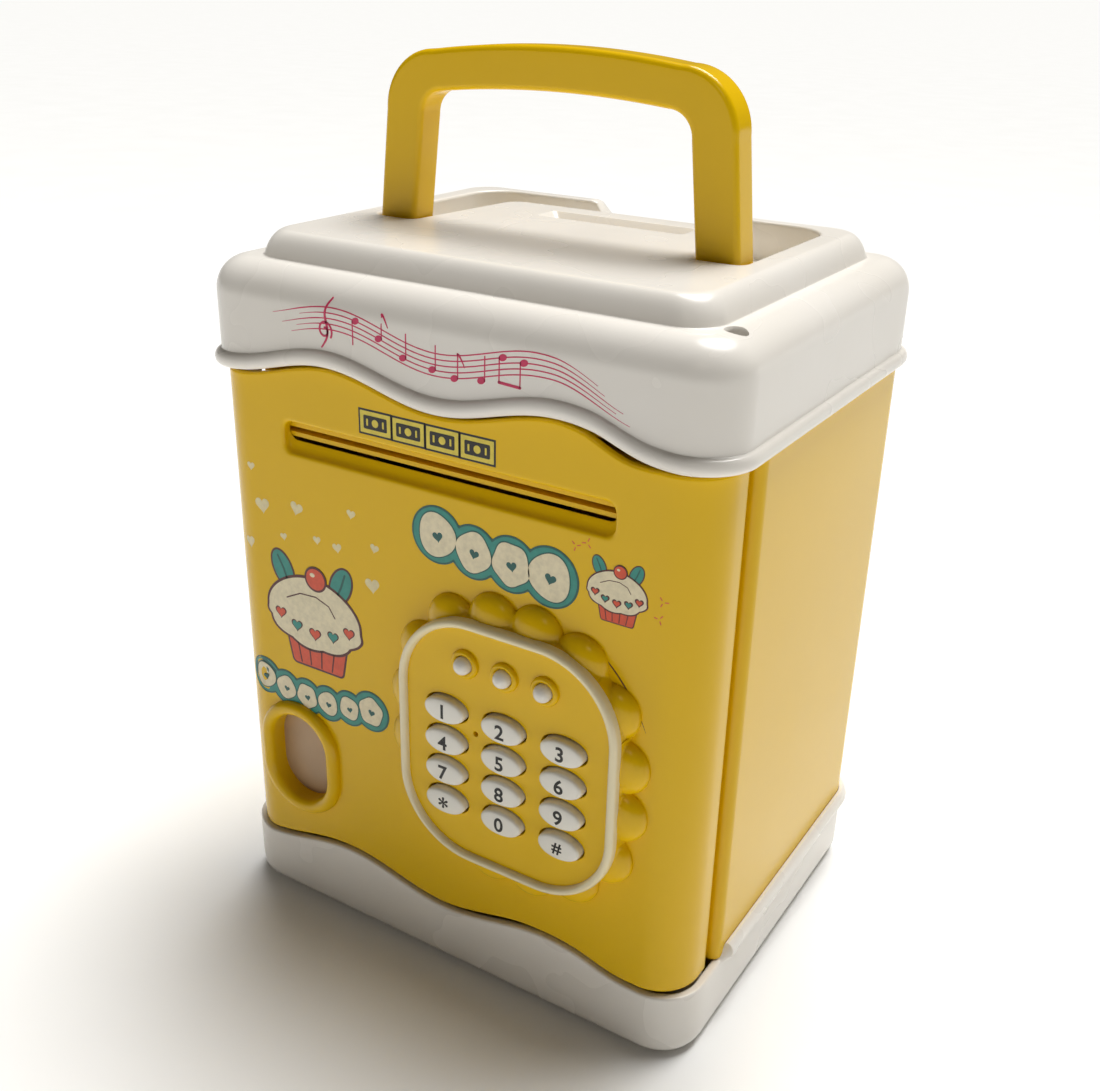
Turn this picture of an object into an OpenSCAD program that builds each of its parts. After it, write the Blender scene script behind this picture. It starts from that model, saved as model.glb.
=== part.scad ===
// Toy safe coin bank: a white base and cover, a yellow body, a hinged front door that carries the
// keypad and the note feeder, and a folding carrying handle.
// The origin is the centre of the flat underside, +X is the viewer's right, -Y the front, +Z up.

/* [Body] */
// Outside width of the body
body_w = 128; // [116:1:154]
// Outside depth of the body
body_d = 102; // [96:1:125]
// Height of the flat ledge around the top platform
ledge_h = 163.5; // [155:0.5:200]
// Height at which the body stands on the base
base_h = 17.4; // [15:0.1:22]
// Height of the lower edge of the cover at the sides
cover_z = 139.2; // [134:0.1:142]
// Radius of the upright corners
corner_r = 10; // [6:0.5:12]
// Thickness of the outer walls
wall = 2.2; // [1.8:0.1:2.8]
// How far base and cover stand proud of the body
lap = 0.6; // [0.2:0.1:1.2]
// How far the edge beads stand proud
bead_out = 1.6; // [0.8:0.1:2.2]
// Height of the bead on the cover
cover_bead_h = 3.5; // [2:0.1:4]
// Height of the bead on the base above the body's foot
base_bead_h = 3; // [2:0.1:4]
// Radius of the cover's top edge
cover_round = 7.5; // [4:0.5:8.5]
// Radius of the base's lower edge
base_round = 4; // [2:0.5:5]
// Thickness of the base's floor
floor_t = 2.5; // [2:0.1:4]

/* [Wavy edges] */
// Length of one wave
wave_len = 57; // [45:1:70]
// Distance of the first crest left of the middle
wave_shift = 28; // [20:1:35]
// Mean rise of the cover's front edge above its sides
cover_rise = 3; // [1:0.1:4]
// Swing of the cover's front edge
cover_swing = 2.4; // [0.5:0.1:3]
// Mean rise of the base's front edge
base_rise = 1.3; // [0.5:0.1:3]
// Swing of the base's front edge
base_swing = 2.2; // [0.5:0.1:3]

/* [Door] */
// How far the door's sides lie inside the body's sides
door_inset = 1.2; // [0.8:0.1:2]
// Depth of the door's side, from its face to the hinge axis
door_wrap = 12.5; // [12:0.5:16]
// Radius of the hinge barrel
barrel_r = 4.5; // [3.5:0.1:5]
// Gap around the door's edges
door_gap = 0.8; // [0.6:0.1:1.5]
// Radius of the hinge pins
hinge_pin_r = 1.5; // [1.2:0.1:2]
// Length of a hinge pin inside the barrel
hinge_grip = 12; // [8:1:20]
// Radial clearance of every shaft and pin that turns
run_fit = 0.06; // [0.02:0.01:0.1]
// Depth of the door with its inner cover
door_depth = 27; // [26:0.5:32]
// Thickness of the inner cover
inner_t = 1.5; // [1.2:0.1:2]

/* [Note feeder] */
// Length of the note slot
slot_w = 84; // [70:1:92]
// Height of the note slot
slot_h = 4.8; // [4.6:0.1:5.4]
// Drop of the slot's lower lip towards the door's face
slot_scoop = 2.4; // [0.5:0.1:3]
// Height of the note path
slot_z = 127.7; // [124:0.1:128.2]
// Middle of the note slot across the door
slot_x = 0; // [-2:0.5:4]
// Radius of the rubber drive rollers
drive_r = 3.6; // [3:0.1:4]
// Radius of the pinch rollers
pinch_r = 3; // [2.5:0.1:3.2]
// Length of a roller
roller_w = 8; // [5:0.5:12]
// Distance of the rollers from the middle of the slot
roller_x = 20; // [15:1:28]
// Gap between the rollers
nip = 0.3; // [0.2:0.05:0.5]
// Radius of the roller shafts
shaft_r = 1.5; // [1.2:0.1:1.8]
// Gear module
gear_m = 0.5; // [0.4:0.05:0.55]
// Teeth of the gear on the roller shaft
gear_teeth = 36; // [32:4:36]
// Teeth of the motor pinion
pinion_teeth = 12; // [12:4:16]
// Radius of the motor's can
motor_r = 7.5; // [6:0.5:8]
// Length of the motor's can
motor_l = 20; // [16:1:25]

/* [Keypad] */
// Middle of the keypad across the door
pad_x = 20; // [16:0.5:22]
// Height of the middle of the keypad
pad_z = 67.6; // [64:0.2:74]
// Half width of the ring of lobes, at the lobes' centres
lobe_a = 26.6; // [25.5:0.1:28]
// Half height of the ring of lobes, at the lobes' centres
lobe_b = 30; // [29:0.1:31.5]
// Radius of one lobe
lobe_r = 6.5; // [6:0.1:6.8]
// Number of lobes
lobes = 16; // [14:2:18]
// How far the keypad's face stands out of the door
face_out = 4.2; // [3:0.1:5]
// Half width of the trim ring
ring_a = 27.6; // [25:0.1:29]
// Half height of the trim ring
ring_b = 30.4; // [28:0.1:32]
// Width of the trim ring
ring_w = 2; // [1.5:0.1:2.5]
// Length of a key
key_l = 10.4; // [9:0.1:12]
// Height of a key
key_h = 6; // [5:0.1:7]
// Distance between key columns
key_px = 14.9; // [13.5:0.1:15.5]
// Distance between key rows
key_pz = 7.85; // [7.75:0.05:8.8]
// Height of the top row of keys above the keypad's middle
key_row = 7.4; // [5:0.1:9]
// Travel of a key
key_travel = 1.5; // [1:0.1:1.6]
// Gap around a key
key_gap = 0.35; // [0.2:0.05:0.5]
// Radius of an indicator lamp
led_r = 2; // [1.5:0.1:2.2]
// Distance between the indicator lamps
led_px = 10; // [8:0.5:12]
// Height of the lamps above the keypad's middle
led_row = 19.9; // [17:0.1:20]

/* [Finger window] */
// Middle of the finger window across the door
finger_x = -42.8; // [-44:0.2:-38]
// Height of the middle of the finger window
finger_z = 42.4; // [40:0.2:48]
// Width of the finger window
finger_w = 17; // [14:0.5:18]
// Height of the finger window
finger_h = 24; // [20:0.5:27]
// Width of the raised rim
finger_rim = 4; // [3:0.5:5]

/* [Batteries and lock] */
// Radius of a battery cell
cell_r = 7.1; // [6.5:0.05:7.25]
// Length of a battery cell
cell_l = 50.2; // [44:0.1:51]
// Stroke of the latch bolt
latch_stroke = 4; // [3:0.5:4.5]

/* [Handle and platform] */
// Height of the platform above the ledge
plat_h = 5.5; // [4:0.5:8]
// Half width of the platform's foot
plat_a = 55.5; // [54:0.5:58]
// Half depth of the platform's foot
plat_b = 44; // [43:0.5:46]
// Slope of the platform's sides
plat_slope = 3; // [1:0.5:4]
// Outside width of the handle at its pivots
handle_w = 92; // [88:1:94]
// Height of the handle above its pivots
handle_h = 43; // [38:0.2:43]
// How far each leg leans inwards at its top
handle_lean = 3; // [0:0.5:5]
// Width of a handle leg
leg_w = 10; // [8:0.5:11]
// Thickness of the handle, front to back
leg_t = 8; // [6:0.5:8.5]
// Distance of the handle's pivots in front of the middle
pivot_y = 7; // [5:0.5:9]
// Radius of the handle pins
handle_pin_r = 1.6; // [1.2:0.1:2]
// Gap around the folded handle
handle_gap = 0.7; // [0.5:0.1:1.2]
// Width of the coin slot
coin_slot_w = 5; // [4.8:0.1:6]
// Length of the coin slot
coin_slot_l = 34; // [28:1:38]

/* [Hidden] */

$fn = 48;
eps = 0.01;
far = 300;

yellow = [0.95, 0.76, 0.05];
white = [0.93, 0.91, 0.87];
steel = [0.72, 0.73, 0.75];
rubber = [0.12, 0.12, 0.13];

// Body
hw = body_w / 2;
hd = body_d / 2;
face_y = -hd;
out_w = body_w + 2 * lap;
out_d = body_d + 2 * lap;
body_wall = wall - 0.2;
tongue_t = 1.6;
tongue_gap = 0.1;
deck_t = 2;
deck_z = cover_z + 2.2;
tongue_top = cover_z + 8;
skin_y = face_y + wall;

// Door
door_hw = hw - door_inset;
hinge_x = door_hw - barrel_r;
hinge_y = face_y + door_wrap;
seam_gap = 0.4;
jamb_y = hinge_y + barrel_r + seam_gap;
jamb_t = 3.6;
jamb_r = 2.5;
jamb_x = hinge_x + 0.5;
lip_t = 2.2;
lip_y = jamb_y - lip_t;
lip_x = 8;
door_end_y = lip_y - door_gap;
swing_reach = 7;
fade_r = 22;
fade_l = 10;
door_back = face_y + door_depth;
tray_l = -door_hw + 8.3;
tray_r = hinge_x - 6.3;
tray_bottom = base_h + 4.6;
tray_top = cover_z - 2.7;
tray_front = skin_y + 4.8;
door_boss_r = 3;
screw_r = 1.2;
head_r = 2.4;
head_h = 1.6;
hinge_boss_r = 4;
pin_head_r = 2.4;
pin_head_h = 2;
upper_pin_top = ledge_h - 3;
lower_pin_end = floor_t + 1;

// Note feeder
slot_bottom = slot_z - slot_h / 2;
slot_top = slot_z + slot_h / 2;
lip_in = wall - 0.8;
feed_y = face_y + 13;
drive_z = slot_z - nip / 2 - drive_r;
pinch_z = slot_z + nip / 2 + pinch_r;
gear_r = gear_m * gear_teeth / 2;
pinion_r = gear_m * pinion_teeth / 2;
gear_gap = 0.1;
motor_z = drive_z - gear_r - pinion_r - gear_gap;
plate_t = 1.5;
plate_l = slot_x - slot_w / 2 - 1 - plate_t;
plate_r = slot_x + slot_w / 2 + 1.5;
guide_t = 1;
guide_gap = 0.6;
guide_back = door_back - inner_t;
gear_w = 2.5;
gear_x = plate_r + plate_t + 0.5;
pinch_shaft_r = 1.2;
motor_shaft_r = 1;

// Keypad
pad_y = face_y - face_out;
ring_out = 1.4;
ring_seat = 1;
key_out = 2;
key_floor = face_y - 1.5;
key_back = key_floor - key_travel - 0.1;
stem_r = 2.2;
stem_gap = 0.3;
board_y = skin_y + 3.4;
board_t = 1.6;
membrane_t = 1.2;
stem_end = board_y - membrane_t - key_travel - 0.2;
seat_y = skin_y + 2.6;
board_l = pad_x - 31;
board_r = pad_x + 22;
board_bottom = pad_z - 31.6;
board_top = pad_z + 33;
cup_out = 1;
cup_wall = 1.4;

// Batteries, speaker and lock
cells = 3;
cell_pitch = 2 * cell_r + 0.8;
cell_x = tray_r - 16.1;
cell_y = door_back - inner_t - 1.1 - cell_r;
cell_z = pad_z - 23.4;
contact_t = 1.2;
box_wall = 1.2;
box_l = cell_x - (cells - 1) * cell_pitch - cell_r - 0.8;
box_r = cell_x + cell_r + 0.8;
box_bottom = cell_z - contact_t;
box_top = cell_z + cell_l + contact_t;
hatch_gap = 0.3;
speaker_r = 14;
speaker_x = tray_l + 20.5;
speaker_z = pad_z + 16.4;
lock_l = 20;
lock_h = 11;
lock_t = 11;
lock_x = tray_l + 8.5;
lock_z = pad_z - 9.1;
bolt_h = 6;
bolt_t = 4;
bolt_y = lip_y + lip_t + 0.6;
bolt_z = lock_z + lock_h / 2;
bolt_tip = tray_l + 0.3;
plunger_r = 1.8;

// Screws in the door
boss_low = tray_bottom + inner_t + door_boss_r + 0.3;
door_screw_at = [[finger_x + finger_w / 2 + finger_rim + door_boss_r + 0.8, boss_low],
    [tray_l + 5, speaker_z + 16], [tray_r - 5, boss_low],
    [tray_r - 5, box_top + box_wall + door_boss_r + 0.2]];
board_screw_at = [for (x = [board_l + 3, board_r - 3], z = [board_bottom + 3, board_top - 3]) [x, z]];
post_r = 2.2;

// Platform and handle
plat_z = ledge_h + plat_h;
pivot_z = ledge_h + 1;
leg_a = handle_w / 2;
foot_r = leg_t / 2;
trough_z = pivot_z - foot_r - 0.5;
trough_out = leg_a + handle_gap;
trough_in = leg_a - leg_w - handle_gap;
trough_front = -pivot_y - foot_r - handle_gap;
trough_back = -pivot_y + handle_h + handle_gap + 0.3;
bar_t = 9;
island_back = -pivot_y + handle_h - bar_t - handle_gap - 1;
handle_out_r = 13;
handle_in_r = 5.5;
island_x = leg_a - handle_lean - leg_w;
island_y = -pivot_y + handle_h - bar_t - handle_in_r - 1.5;
trough_wall = 2;
coin_x = 3;
coin_y = 14.5;
chute_wall = 1.4;
boss_r = 3.6;
boss_x = hw - 9;
boss_back = hd - 9;
boss_front = jamb_y + 7.6;
base_boss_x = hw - 7.5;
base_boss_back = hd - 8;
base_boss_front = door_back + 5;
base_boss_h = 14;

// A smooth step from 0 to 1.
function smooth(t) = let (u = min(1, max(0, t))) u * u * (3 - 2 * u);
// The wave fades out at both corners.
function fade(x) = smooth((hinge_x - x) / fade_r) * smooth((x + hw) / fade_l);
function wave(x) = cos(360 * (x + wave_shift) / wave_len);
// Height of the cover's lower edge and the base's upper edge at x.
function cover_edge(x) = cover_z + fade(x) * (cover_rise + cover_swing * wave(x));
function base_edge(x) = base_h - 0.4 + fade(x) * (base_rise + base_swing * wave(x));
// How far a point of the door moves to the right before it clears the edge above it.
function drift(x) = min(fade_r, swing_reach * door_wrap / max(1, hinge_x - x));
// The door's own edges keep clear of both edges along that way.
function door_top(x) = min([for (k = [0:0.25:1]) cover_edge(x + k * drift(x))]) - door_gap;
function door_foot(x) = max([for (k = [0:0.25:1]) base_edge(x + k * drift(x))]) + door_gap;
span = [for (i = [0:64]) -hw - 4 + i * (body_w + 8) / 64];

// Involute gear outline with its first tooth along +X.
function inv(a) = tan(a) * 180 / PI - a;
function flank(m, n, q) = 90 / n + inv(20) - inv(acos(min(1, m * n / 2 * cos(20) / q))) - 0.25;
function gear_points(m, n) =
    let (low = m * n / 2 - 1.2 * m, base = max(low + 0.05, m * n / 2 * cos(20)), top = m * n / 2 + m)
    [for (k = [0:n - 1], s = [-1, 1], i = [0:4])
        let (j = s < 0 ? i : 4 - i, q = j == 0 ? low : base + (top - base) * (j - 1) / 3,
            a = 360 * k / n + s * flank(m, n, max(q, base)))
        q * [cos(a), sin(a)]];

// The ring of lobes follows a soft square.
function soft(a, n) = 1 / pow(pow(abs(cos(a)), n) + pow(abs(sin(a)), n), 1 / n);

module rrect(w, d, r) {
    square([w - 2 * r, d], center = true);
    square([w, d - 2 * r], center = true);
    for (sx = [-1, 1], sy = [-1, 1])
        translate([sx * (w / 2 - r), sy * (d / 2 - r)])
            circle(r);
}

// A flat bar with round ends, w wide and h high.
module oval(w, h) {
    long = max(w, h);
    r = min(w, h) / 2;
    square([w > h ? long - 2 * r : w, w > h ? h : long - 2 * r], center = true);
    for (s = [-1, 1])
        translate(w > h ? [s * (long / 2 - r), 0] : [0, s * (long / 2 - r)])
            circle(r);
}

// A flat shape drawn in X and Z, carried back from y0 to y1.
module plate_y(y0, y1) {
    translate([0, y1, 0])
        rotate([90, 0, 0])
            linear_extrude(y1 - y0)
                children();
}

// A flat shape drawn in Y and Z, carried along X from x0 to x1.
module plate_x(x0, x1) {
    translate([x0, 0, 0])
        rotate([90, 0, 90])
            linear_extrude(x1 - x0)
                children();
}

module box(lo, hi) {
    translate(lo)
        cube(hi - lo);
}

module rod_z(x, y, z0, z1, r) {
    translate([x, y, z0])
        cylinder(h = z1 - z0, r = r);
}

module rod_y(x, z, y0, y1, r) {
    translate([x, y0, z])
        rotate([-90, 0, 0])
            cylinder(h = y1 - y0, r = r);
}

module rod_x(y, z, x0, x1, r) {
    translate([x0, y, z])
        rotate([0, 90, 0])
            cylinder(h = x1 - x0, r = r);
}

// A rounded slab whose upper edge is rounded by a radius q.
module pillow(w, d, r, q, z0, z1) {
    translate([0, 0, z0])
        linear_extrude(z1 - q - z0)
            rrect(w, d, r);
    hull()
        for (sx = [-1, 1], sy = [-1, 1])
            translate([sx * (w / 2 - r), sy * (d / 2 - r), z1 - q])
                rotate_extrude($fn = 32)
                    intersection() {
                        translate([r - q, 0])
                            circle(q);
                        square(2 * r);
                    }
}

module tapered(w, d, r, slope, z0, z1) {
    hull() {
        translate([0, 0, z0])
            linear_extrude(eps)
                rrect(w, d, r, $fn = 32);
        translate([0, 0, z1 - eps])
            linear_extrude(eps)
                rrect(w - 2 * slope, d - 2 * slope, r - slope / 2, $fn = 32);
    }
}

// Everything in front of the seam that lies above or below a wavy edge.
module below_edge(shift, y1) {
    plate_y(-far, y1)
        polygon(concat([for (x = span) [x, cover_edge(x) + shift]], [[far, 0], [-far, 0]]));
}

module above_base_edge(y1) {
    plate_y(-far, y1)
        polygon(concat([for (x = span) [x, base_edge(x)]], [[far, far], [-far, far]]));
}

module bead_ring(z0, z1, inner) {
    translate([0, 0, z0])
        linear_extrude(z1 - z0)
            difference() {
                rrect(out_w + 2 * bead_out, out_d + 2 * bead_out, corner_r + lap + bead_out);
                rrect(body_w + 2 * inner, body_d + 2 * inner, corner_r + inner);
            }
}

module base_tray() {
    color(white)
    difference() {
        union() {
            difference() {
                mirror([0, 0, 1])
                    translate([0, 0, -base_h])
                        pillow(out_w, out_d, corner_r + lap, base_round, -5, base_h);
                translate([0, 0, floor_t])
                    linear_extrude(far)
                        rrect(out_w - 2 * wall, out_d - 2 * wall, corner_r + lap - wall);
                translate([0, 0, base_h])
                    linear_extrude(far)
                        square(far, center = true);
            }
            // front wall up to the crests of the wave
            intersection() {
                translate([0, 0, base_h - 1])
                    linear_extrude(base_rise + base_swing + 2)
                        difference() {
                            rrect(out_w, out_d, corner_r + lap);
                            rrect(out_w - 2 * wall, out_d - 2 * wall, corner_r + lap - wall);
                        }
                box([-far, -far, 0], [far, hinge_y, far]);
            }
            // bead around the sides and the back
            difference() {
                bead_ring(base_h - 1.5, base_h + base_bead_h, 0.05);
                box([-far, -far, 0], [far, jamb_y + 0.6, far]);
            }
            rod_z(hinge_x, hinge_y, floor_t - eps, base_h - 0.4, hinge_boss_r);
        }
        above_base_edge(jamb_y - 0.1);
        rod_z(hinge_x, hinge_y, lower_pin_end, far, hinge_pin_r);
        // window in the side wall at the hinge pin
        box([hinge_x + 1, hinge_y - 3.2, base_h - 5.2], [far, hinge_y + 3.2, base_h - 2.8]);
        for (x = [-base_boss_x, base_boss_x], y = [base_boss_front, base_boss_back]) {
            rod_z(x, y, -1, far, screw_r + 0.3);
            rod_z(x, y, -1, head_h, head_r + 0.3);
        }
    }
}

module body_plan() {
    difference() {
        rrect(body_w, body_d, corner_r);
        rrect(body_w - 2 * body_wall, body_d - 2 * body_wall, corner_r - body_wall);
        translate([-far, -far])
            square([2 * far, far + jamb_y + jamb_r]);
    }
    // rounded jambs at the door's side edges
    for (s = [-1, 1])
        scale([s, 1]) {
            translate([jamb_x, jamb_y])
                square([hw - jamb_r - jamb_x, jamb_t]);
            translate([hw - jamb_r, jamb_y + jamb_r])
                circle(jamb_r);
            translate([hw - jamb_r, jamb_y + jamb_r])
                square([jamb_r, jamb_t - jamb_r]);
        }
}

module body_shell() {
    color(yellow)
    difference() {
        union() {
            translate([0, 0, base_h])
                linear_extrude(cover_z - base_h)
                    body_plan();
            // tongue inside the cover
            translate([0, 0, cover_z - 3])
                linear_extrude(tongue_top - cover_z + 3)
                    difference() {
                        tongue_w = out_w - 2 * wall - 2 * tongue_gap;
                        tongue_d = out_d - 2 * wall - 2 * tongue_gap;
                        rrect(tongue_w, tongue_d, corner_r + lap - wall);
                        rrect(tongue_w - 2 * tongue_t, tongue_d - 2 * tongue_t, corner_r - wall - 1);
                        translate([-far, -far])
                            square([2 * far, far + jamb_y]);
                    }
            // deck above the money compartment
            intersection() {
                translate([0, 0, deck_z])
                    linear_extrude(deck_t)
                        rrect(out_w - 2 * wall - 2 * tongue_gap, out_d - 2 * wall - 2 * tongue_gap,
                            corner_r + lap - wall);
                box([-far, skin_y + door_gap, 0], [far, far, far]);
            }
            for (s = [-1, 1], y = [base_boss_front, base_boss_back])
                base_boss(s, y);
        }
        rod_z(hinge_x, hinge_y, deck_z - 1, far, hinge_boss_r + 0.3);
        translate([coin_x, coin_y, deck_z - 1])
            linear_extrude(deck_t + 2)
                square([coin_slot_l + 2 * chute_wall + 4, coin_slot_w + 2 * chute_wall + 1], center = true);
        for (x = [-boss_x, boss_x], y = [boss_front, boss_back])
            rod_z(x, y, deck_z - 1, far, screw_r + 0.3);
    }
}

// Strip on the left jamb that the latch bolt catches behind.
module latch_keeper() {
    color(yellow)
    box([-hw + jamb_r, lip_y, base_h + 0.2], [-hw + lip_x, jamb_y, cover_z - 0.2]);
}

module base_boss(s, y) {
    difference() {
        union() {
            rod_z(s * base_boss_x, y, floor_t, base_h + base_boss_h, boss_r);
            translate([s > 0 ? base_boss_x : -hw + 1, y - 1, base_h])
                cube([hw - 1 - base_boss_x, 2, base_boss_h]);
        }
        rod_z(s * base_boss_x, y, 0, base_h + base_boss_h - 3, screw_r);
    }
}

// The recess that the folded handle lies in, around an island that follows the handle's inner edge.
module trough(grow, z0, z1) {
    translate([0, 0, z0])
        linear_extrude(z1 - z0)
            difference() {
                translate([-trough_out - grow, trough_front - grow])
                    square([2 * (trough_out + grow), trough_back - trough_front + 2 * grow]);
                island(-grow);
            }
}

module island(grow) {
    q = handle_in_r - handle_gap + grow;
    x1 = island_x - handle_in_r;
    polygon([[-trough_in - grow, trough_front - 2 * far], [trough_in + grow, trough_front - 2 * far],
        [trough_in + grow, -pivot_y], [x1 + q, island_y], [x1, island_y + q],
        [leg_a / 2, island_back + grow], [-leg_a / 2, island_back + grow], [-x1, island_y + q],
        [-x1 - q, island_y], [-trough_in - grow, -pivot_y]]);
    for (s = [-1, 1])
        translate([s * x1, island_y])
            circle(q);
}

module top_cover() {
    r = corner_r + lap;
    color(white)
    difference() {
        union() {
            difference() {
                union() {
                    pillow(out_w, out_d, r, cover_round, cover_z, ledge_h);
                    tapered(2 * plat_a, 2 * plat_b, 8, plat_slope, ledge_h - eps, plat_z);
                }
                pillow(out_w - 2 * wall, out_d - 2 * wall, r - wall, cover_round - wall,
                    cover_z - 5, ledge_h - wall);
                tapered(2 * (plat_a - wall), 2 * (plat_b - wall), 7, plat_slope,
                    ledge_h - wall - eps, plat_z - wall);
            }
            intersection() {
                trough(trough_wall, trough_z - trough_wall, plat_z);
                union() {
                    box([-plat_a + 2, -plat_b + 2, 0], [plat_a - 2, plat_b - 2, ledge_h]);
                    tapered(2 * plat_a, 2 * plat_b, 8, plat_slope, ledge_h - eps, plat_z);
                }
            }
            // screw bosses and the upper hinge boss
            for (x = [-boss_x, boss_x], y = [boss_front, boss_back])
                rod_z(x, y, deck_z + deck_t, ledge_h - wall + eps, boss_r);
            rod_z(hinge_x, hinge_y, cover_z, ledge_h - wall + eps, hinge_boss_r);
            bead_ring(cover_z, cover_z + cover_bead_h + cover_rise + cover_swing, lap);
        }
        below_edge(0, jamb_y);
        // the bead's upper side
        difference() {
            union() {
                difference() {
                    box([-far, -far, cover_z - 1], [far, jamb_y + eps, cover_z + 12]);
                    below_edge(cover_bead_h, far);
                }
                box([-far, jamb_y, cover_z + cover_bead_h], [far, far, cover_z + 12]);
            }
            translate([0, 0, cover_z - 5])
                linear_extrude(30)
                    rrect(out_w, out_d, r);
        }
        trough(0, trough_z, far);
        // finger notch behind the folded handle
        box([-15, trough_back - 1, ledge_h + 1.5], [15, far, far]);
        // coin slot with a sloped mouth
        translate([coin_x, coin_y, 0])
            linear_extrude(far)
                square([coin_slot_l, coin_slot_w], center = true);
        plate_x(coin_x - coin_slot_l / 2 - 2, coin_x + coin_slot_l / 2 + 2)
            polygon([[coin_y - coin_slot_w / 2, plat_z - 1.6], [coin_y + coin_slot_w / 2, plat_z - 1.6],
                [coin_y + coin_slot_w / 2 + 2, plat_z + 1], [coin_y - coin_slot_w / 2 - 2, plat_z + 1]]);
        for (s = [-1, 1])
            rod_x(-pivot_y, pivot_z, s > 0 ? trough_in - trough_wall - 1 : -trough_out - trough_wall - 0.5,
                s > 0 ? trough_out + trough_wall + 0.5 : -trough_in + trough_wall + 1, handle_pin_r);
        rod_z(hinge_x, hinge_y, 0, upper_pin_top, hinge_pin_r);
        rod_z(hinge_x, hinge_y, upper_pin_top - pin_head_h, far, pin_head_r);
        for (x = [-boss_x, boss_x], y = [boss_front, boss_back])
            rod_z(x, y, 0, deck_z + deck_t + 9, screw_r);
    }
}

module coin_chute() {
    color(white)
    translate([coin_x, coin_y, deck_z - 1])
        linear_extrude(plat_z - wall - deck_z + 1)
            difference() {
                square([coin_slot_l + 2 * chute_wall + 2, coin_slot_w + 2 * chute_wall], center = true);
                square([coin_slot_l + 2, coin_slot_w], center = true);
            }
}

module cover_screws() {
    color(steel)
    for (x = [-boss_x, boss_x], y = [boss_front, boss_back]) {
        rod_z(x, y, deck_z, deck_z + deck_t + 8, screw_r);
        rod_z(x, y, deck_z - head_h, deck_z, head_r);
    }
}

module base_screws() {
    color(steel)
    for (x = [-base_boss_x, base_boss_x], y = [base_boss_front, base_boss_back]) {
        rod_z(x, y, head_h - eps, base_h + 6, screw_r);
        rod_z(x, y, 0.2, head_h, head_r);
    }
}

module upper_hinge_pin() {
    color(steel) {
        rod_z(hinge_x, hinge_y, cover_z - door_gap - hinge_grip, upper_pin_top - 0.5, hinge_pin_r);
        rod_z(hinge_x, hinge_y, upper_pin_top - pin_head_h, upper_pin_top, pin_head_r);
    }
}

module lower_hinge_pin() {
    color(steel)
    rod_z(hinge_x, hinge_y, lower_pin_end, base_h + hinge_grip, hinge_pin_r);
}

module handle_outline() {
    top = pivot_z + handle_h;
    difference() {
        hull() {
            translate([-leg_a, pivot_z])
                square([2 * leg_a, eps]);
            for (s = [-1, 1])
                translate([s * (leg_a - handle_lean - handle_out_r), top - handle_out_r - 2])
                    circle(handle_out_r, $fn = 64);
            translate([-leg_a / 2, top - 1])
                square([leg_a, 1]);
        }
        hull() {
            translate([-leg_a + leg_w, pivot_z - 1])
                square([2 * (leg_a - leg_w), eps]);
            for (s = [-1, 1])
                translate([s * (island_x - handle_in_r), top - bar_t - handle_in_r - 1.5])
                    circle(handle_in_r, $fn = 48);
            translate([-leg_a / 2, top - bar_t - 1])
                square([leg_a, 1]);
        }
    }
}

module handle() {
    color(yellow)
    difference() {
        union() {
            plate_y(-pivot_y - foot_r, -pivot_y + foot_r)
                handle_outline();
            for (s = [-1, 1])
                rod_x(-pivot_y, pivot_z, s > 0 ? leg_a - leg_w : -leg_a, s > 0 ? leg_a : -leg_a + leg_w, foot_r);
        }
        rod_x(-pivot_y, pivot_z, -far, far, handle_pin_r + run_fit);
    }
}

module handle_pins() {
    color(steel)
    for (s = [-1, 1])
        rod_x(-pivot_y, pivot_z, s > 0 ? trough_in - trough_wall : -trough_out - trough_wall,
            s > 0 ? trough_out + trough_wall : -trough_in + trough_wall, handle_pin_r);
}

module door_plan() {
    difference() {
        translate([0, body_d / 2 + face_y])
            rrect(2 * door_hw, body_d, corner_r);
        translate([0, body_d / 2 + face_y])
            rrect(2 * (door_hw - wall), body_d - 2 * wall, corner_r - wall);
        translate([0, hinge_y])
            square([far, far]);
        translate([-far, door_end_y])
            square([far + eps, far]);
    }
    translate([hinge_x, hinge_y])
        circle(barrel_r);
}

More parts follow.
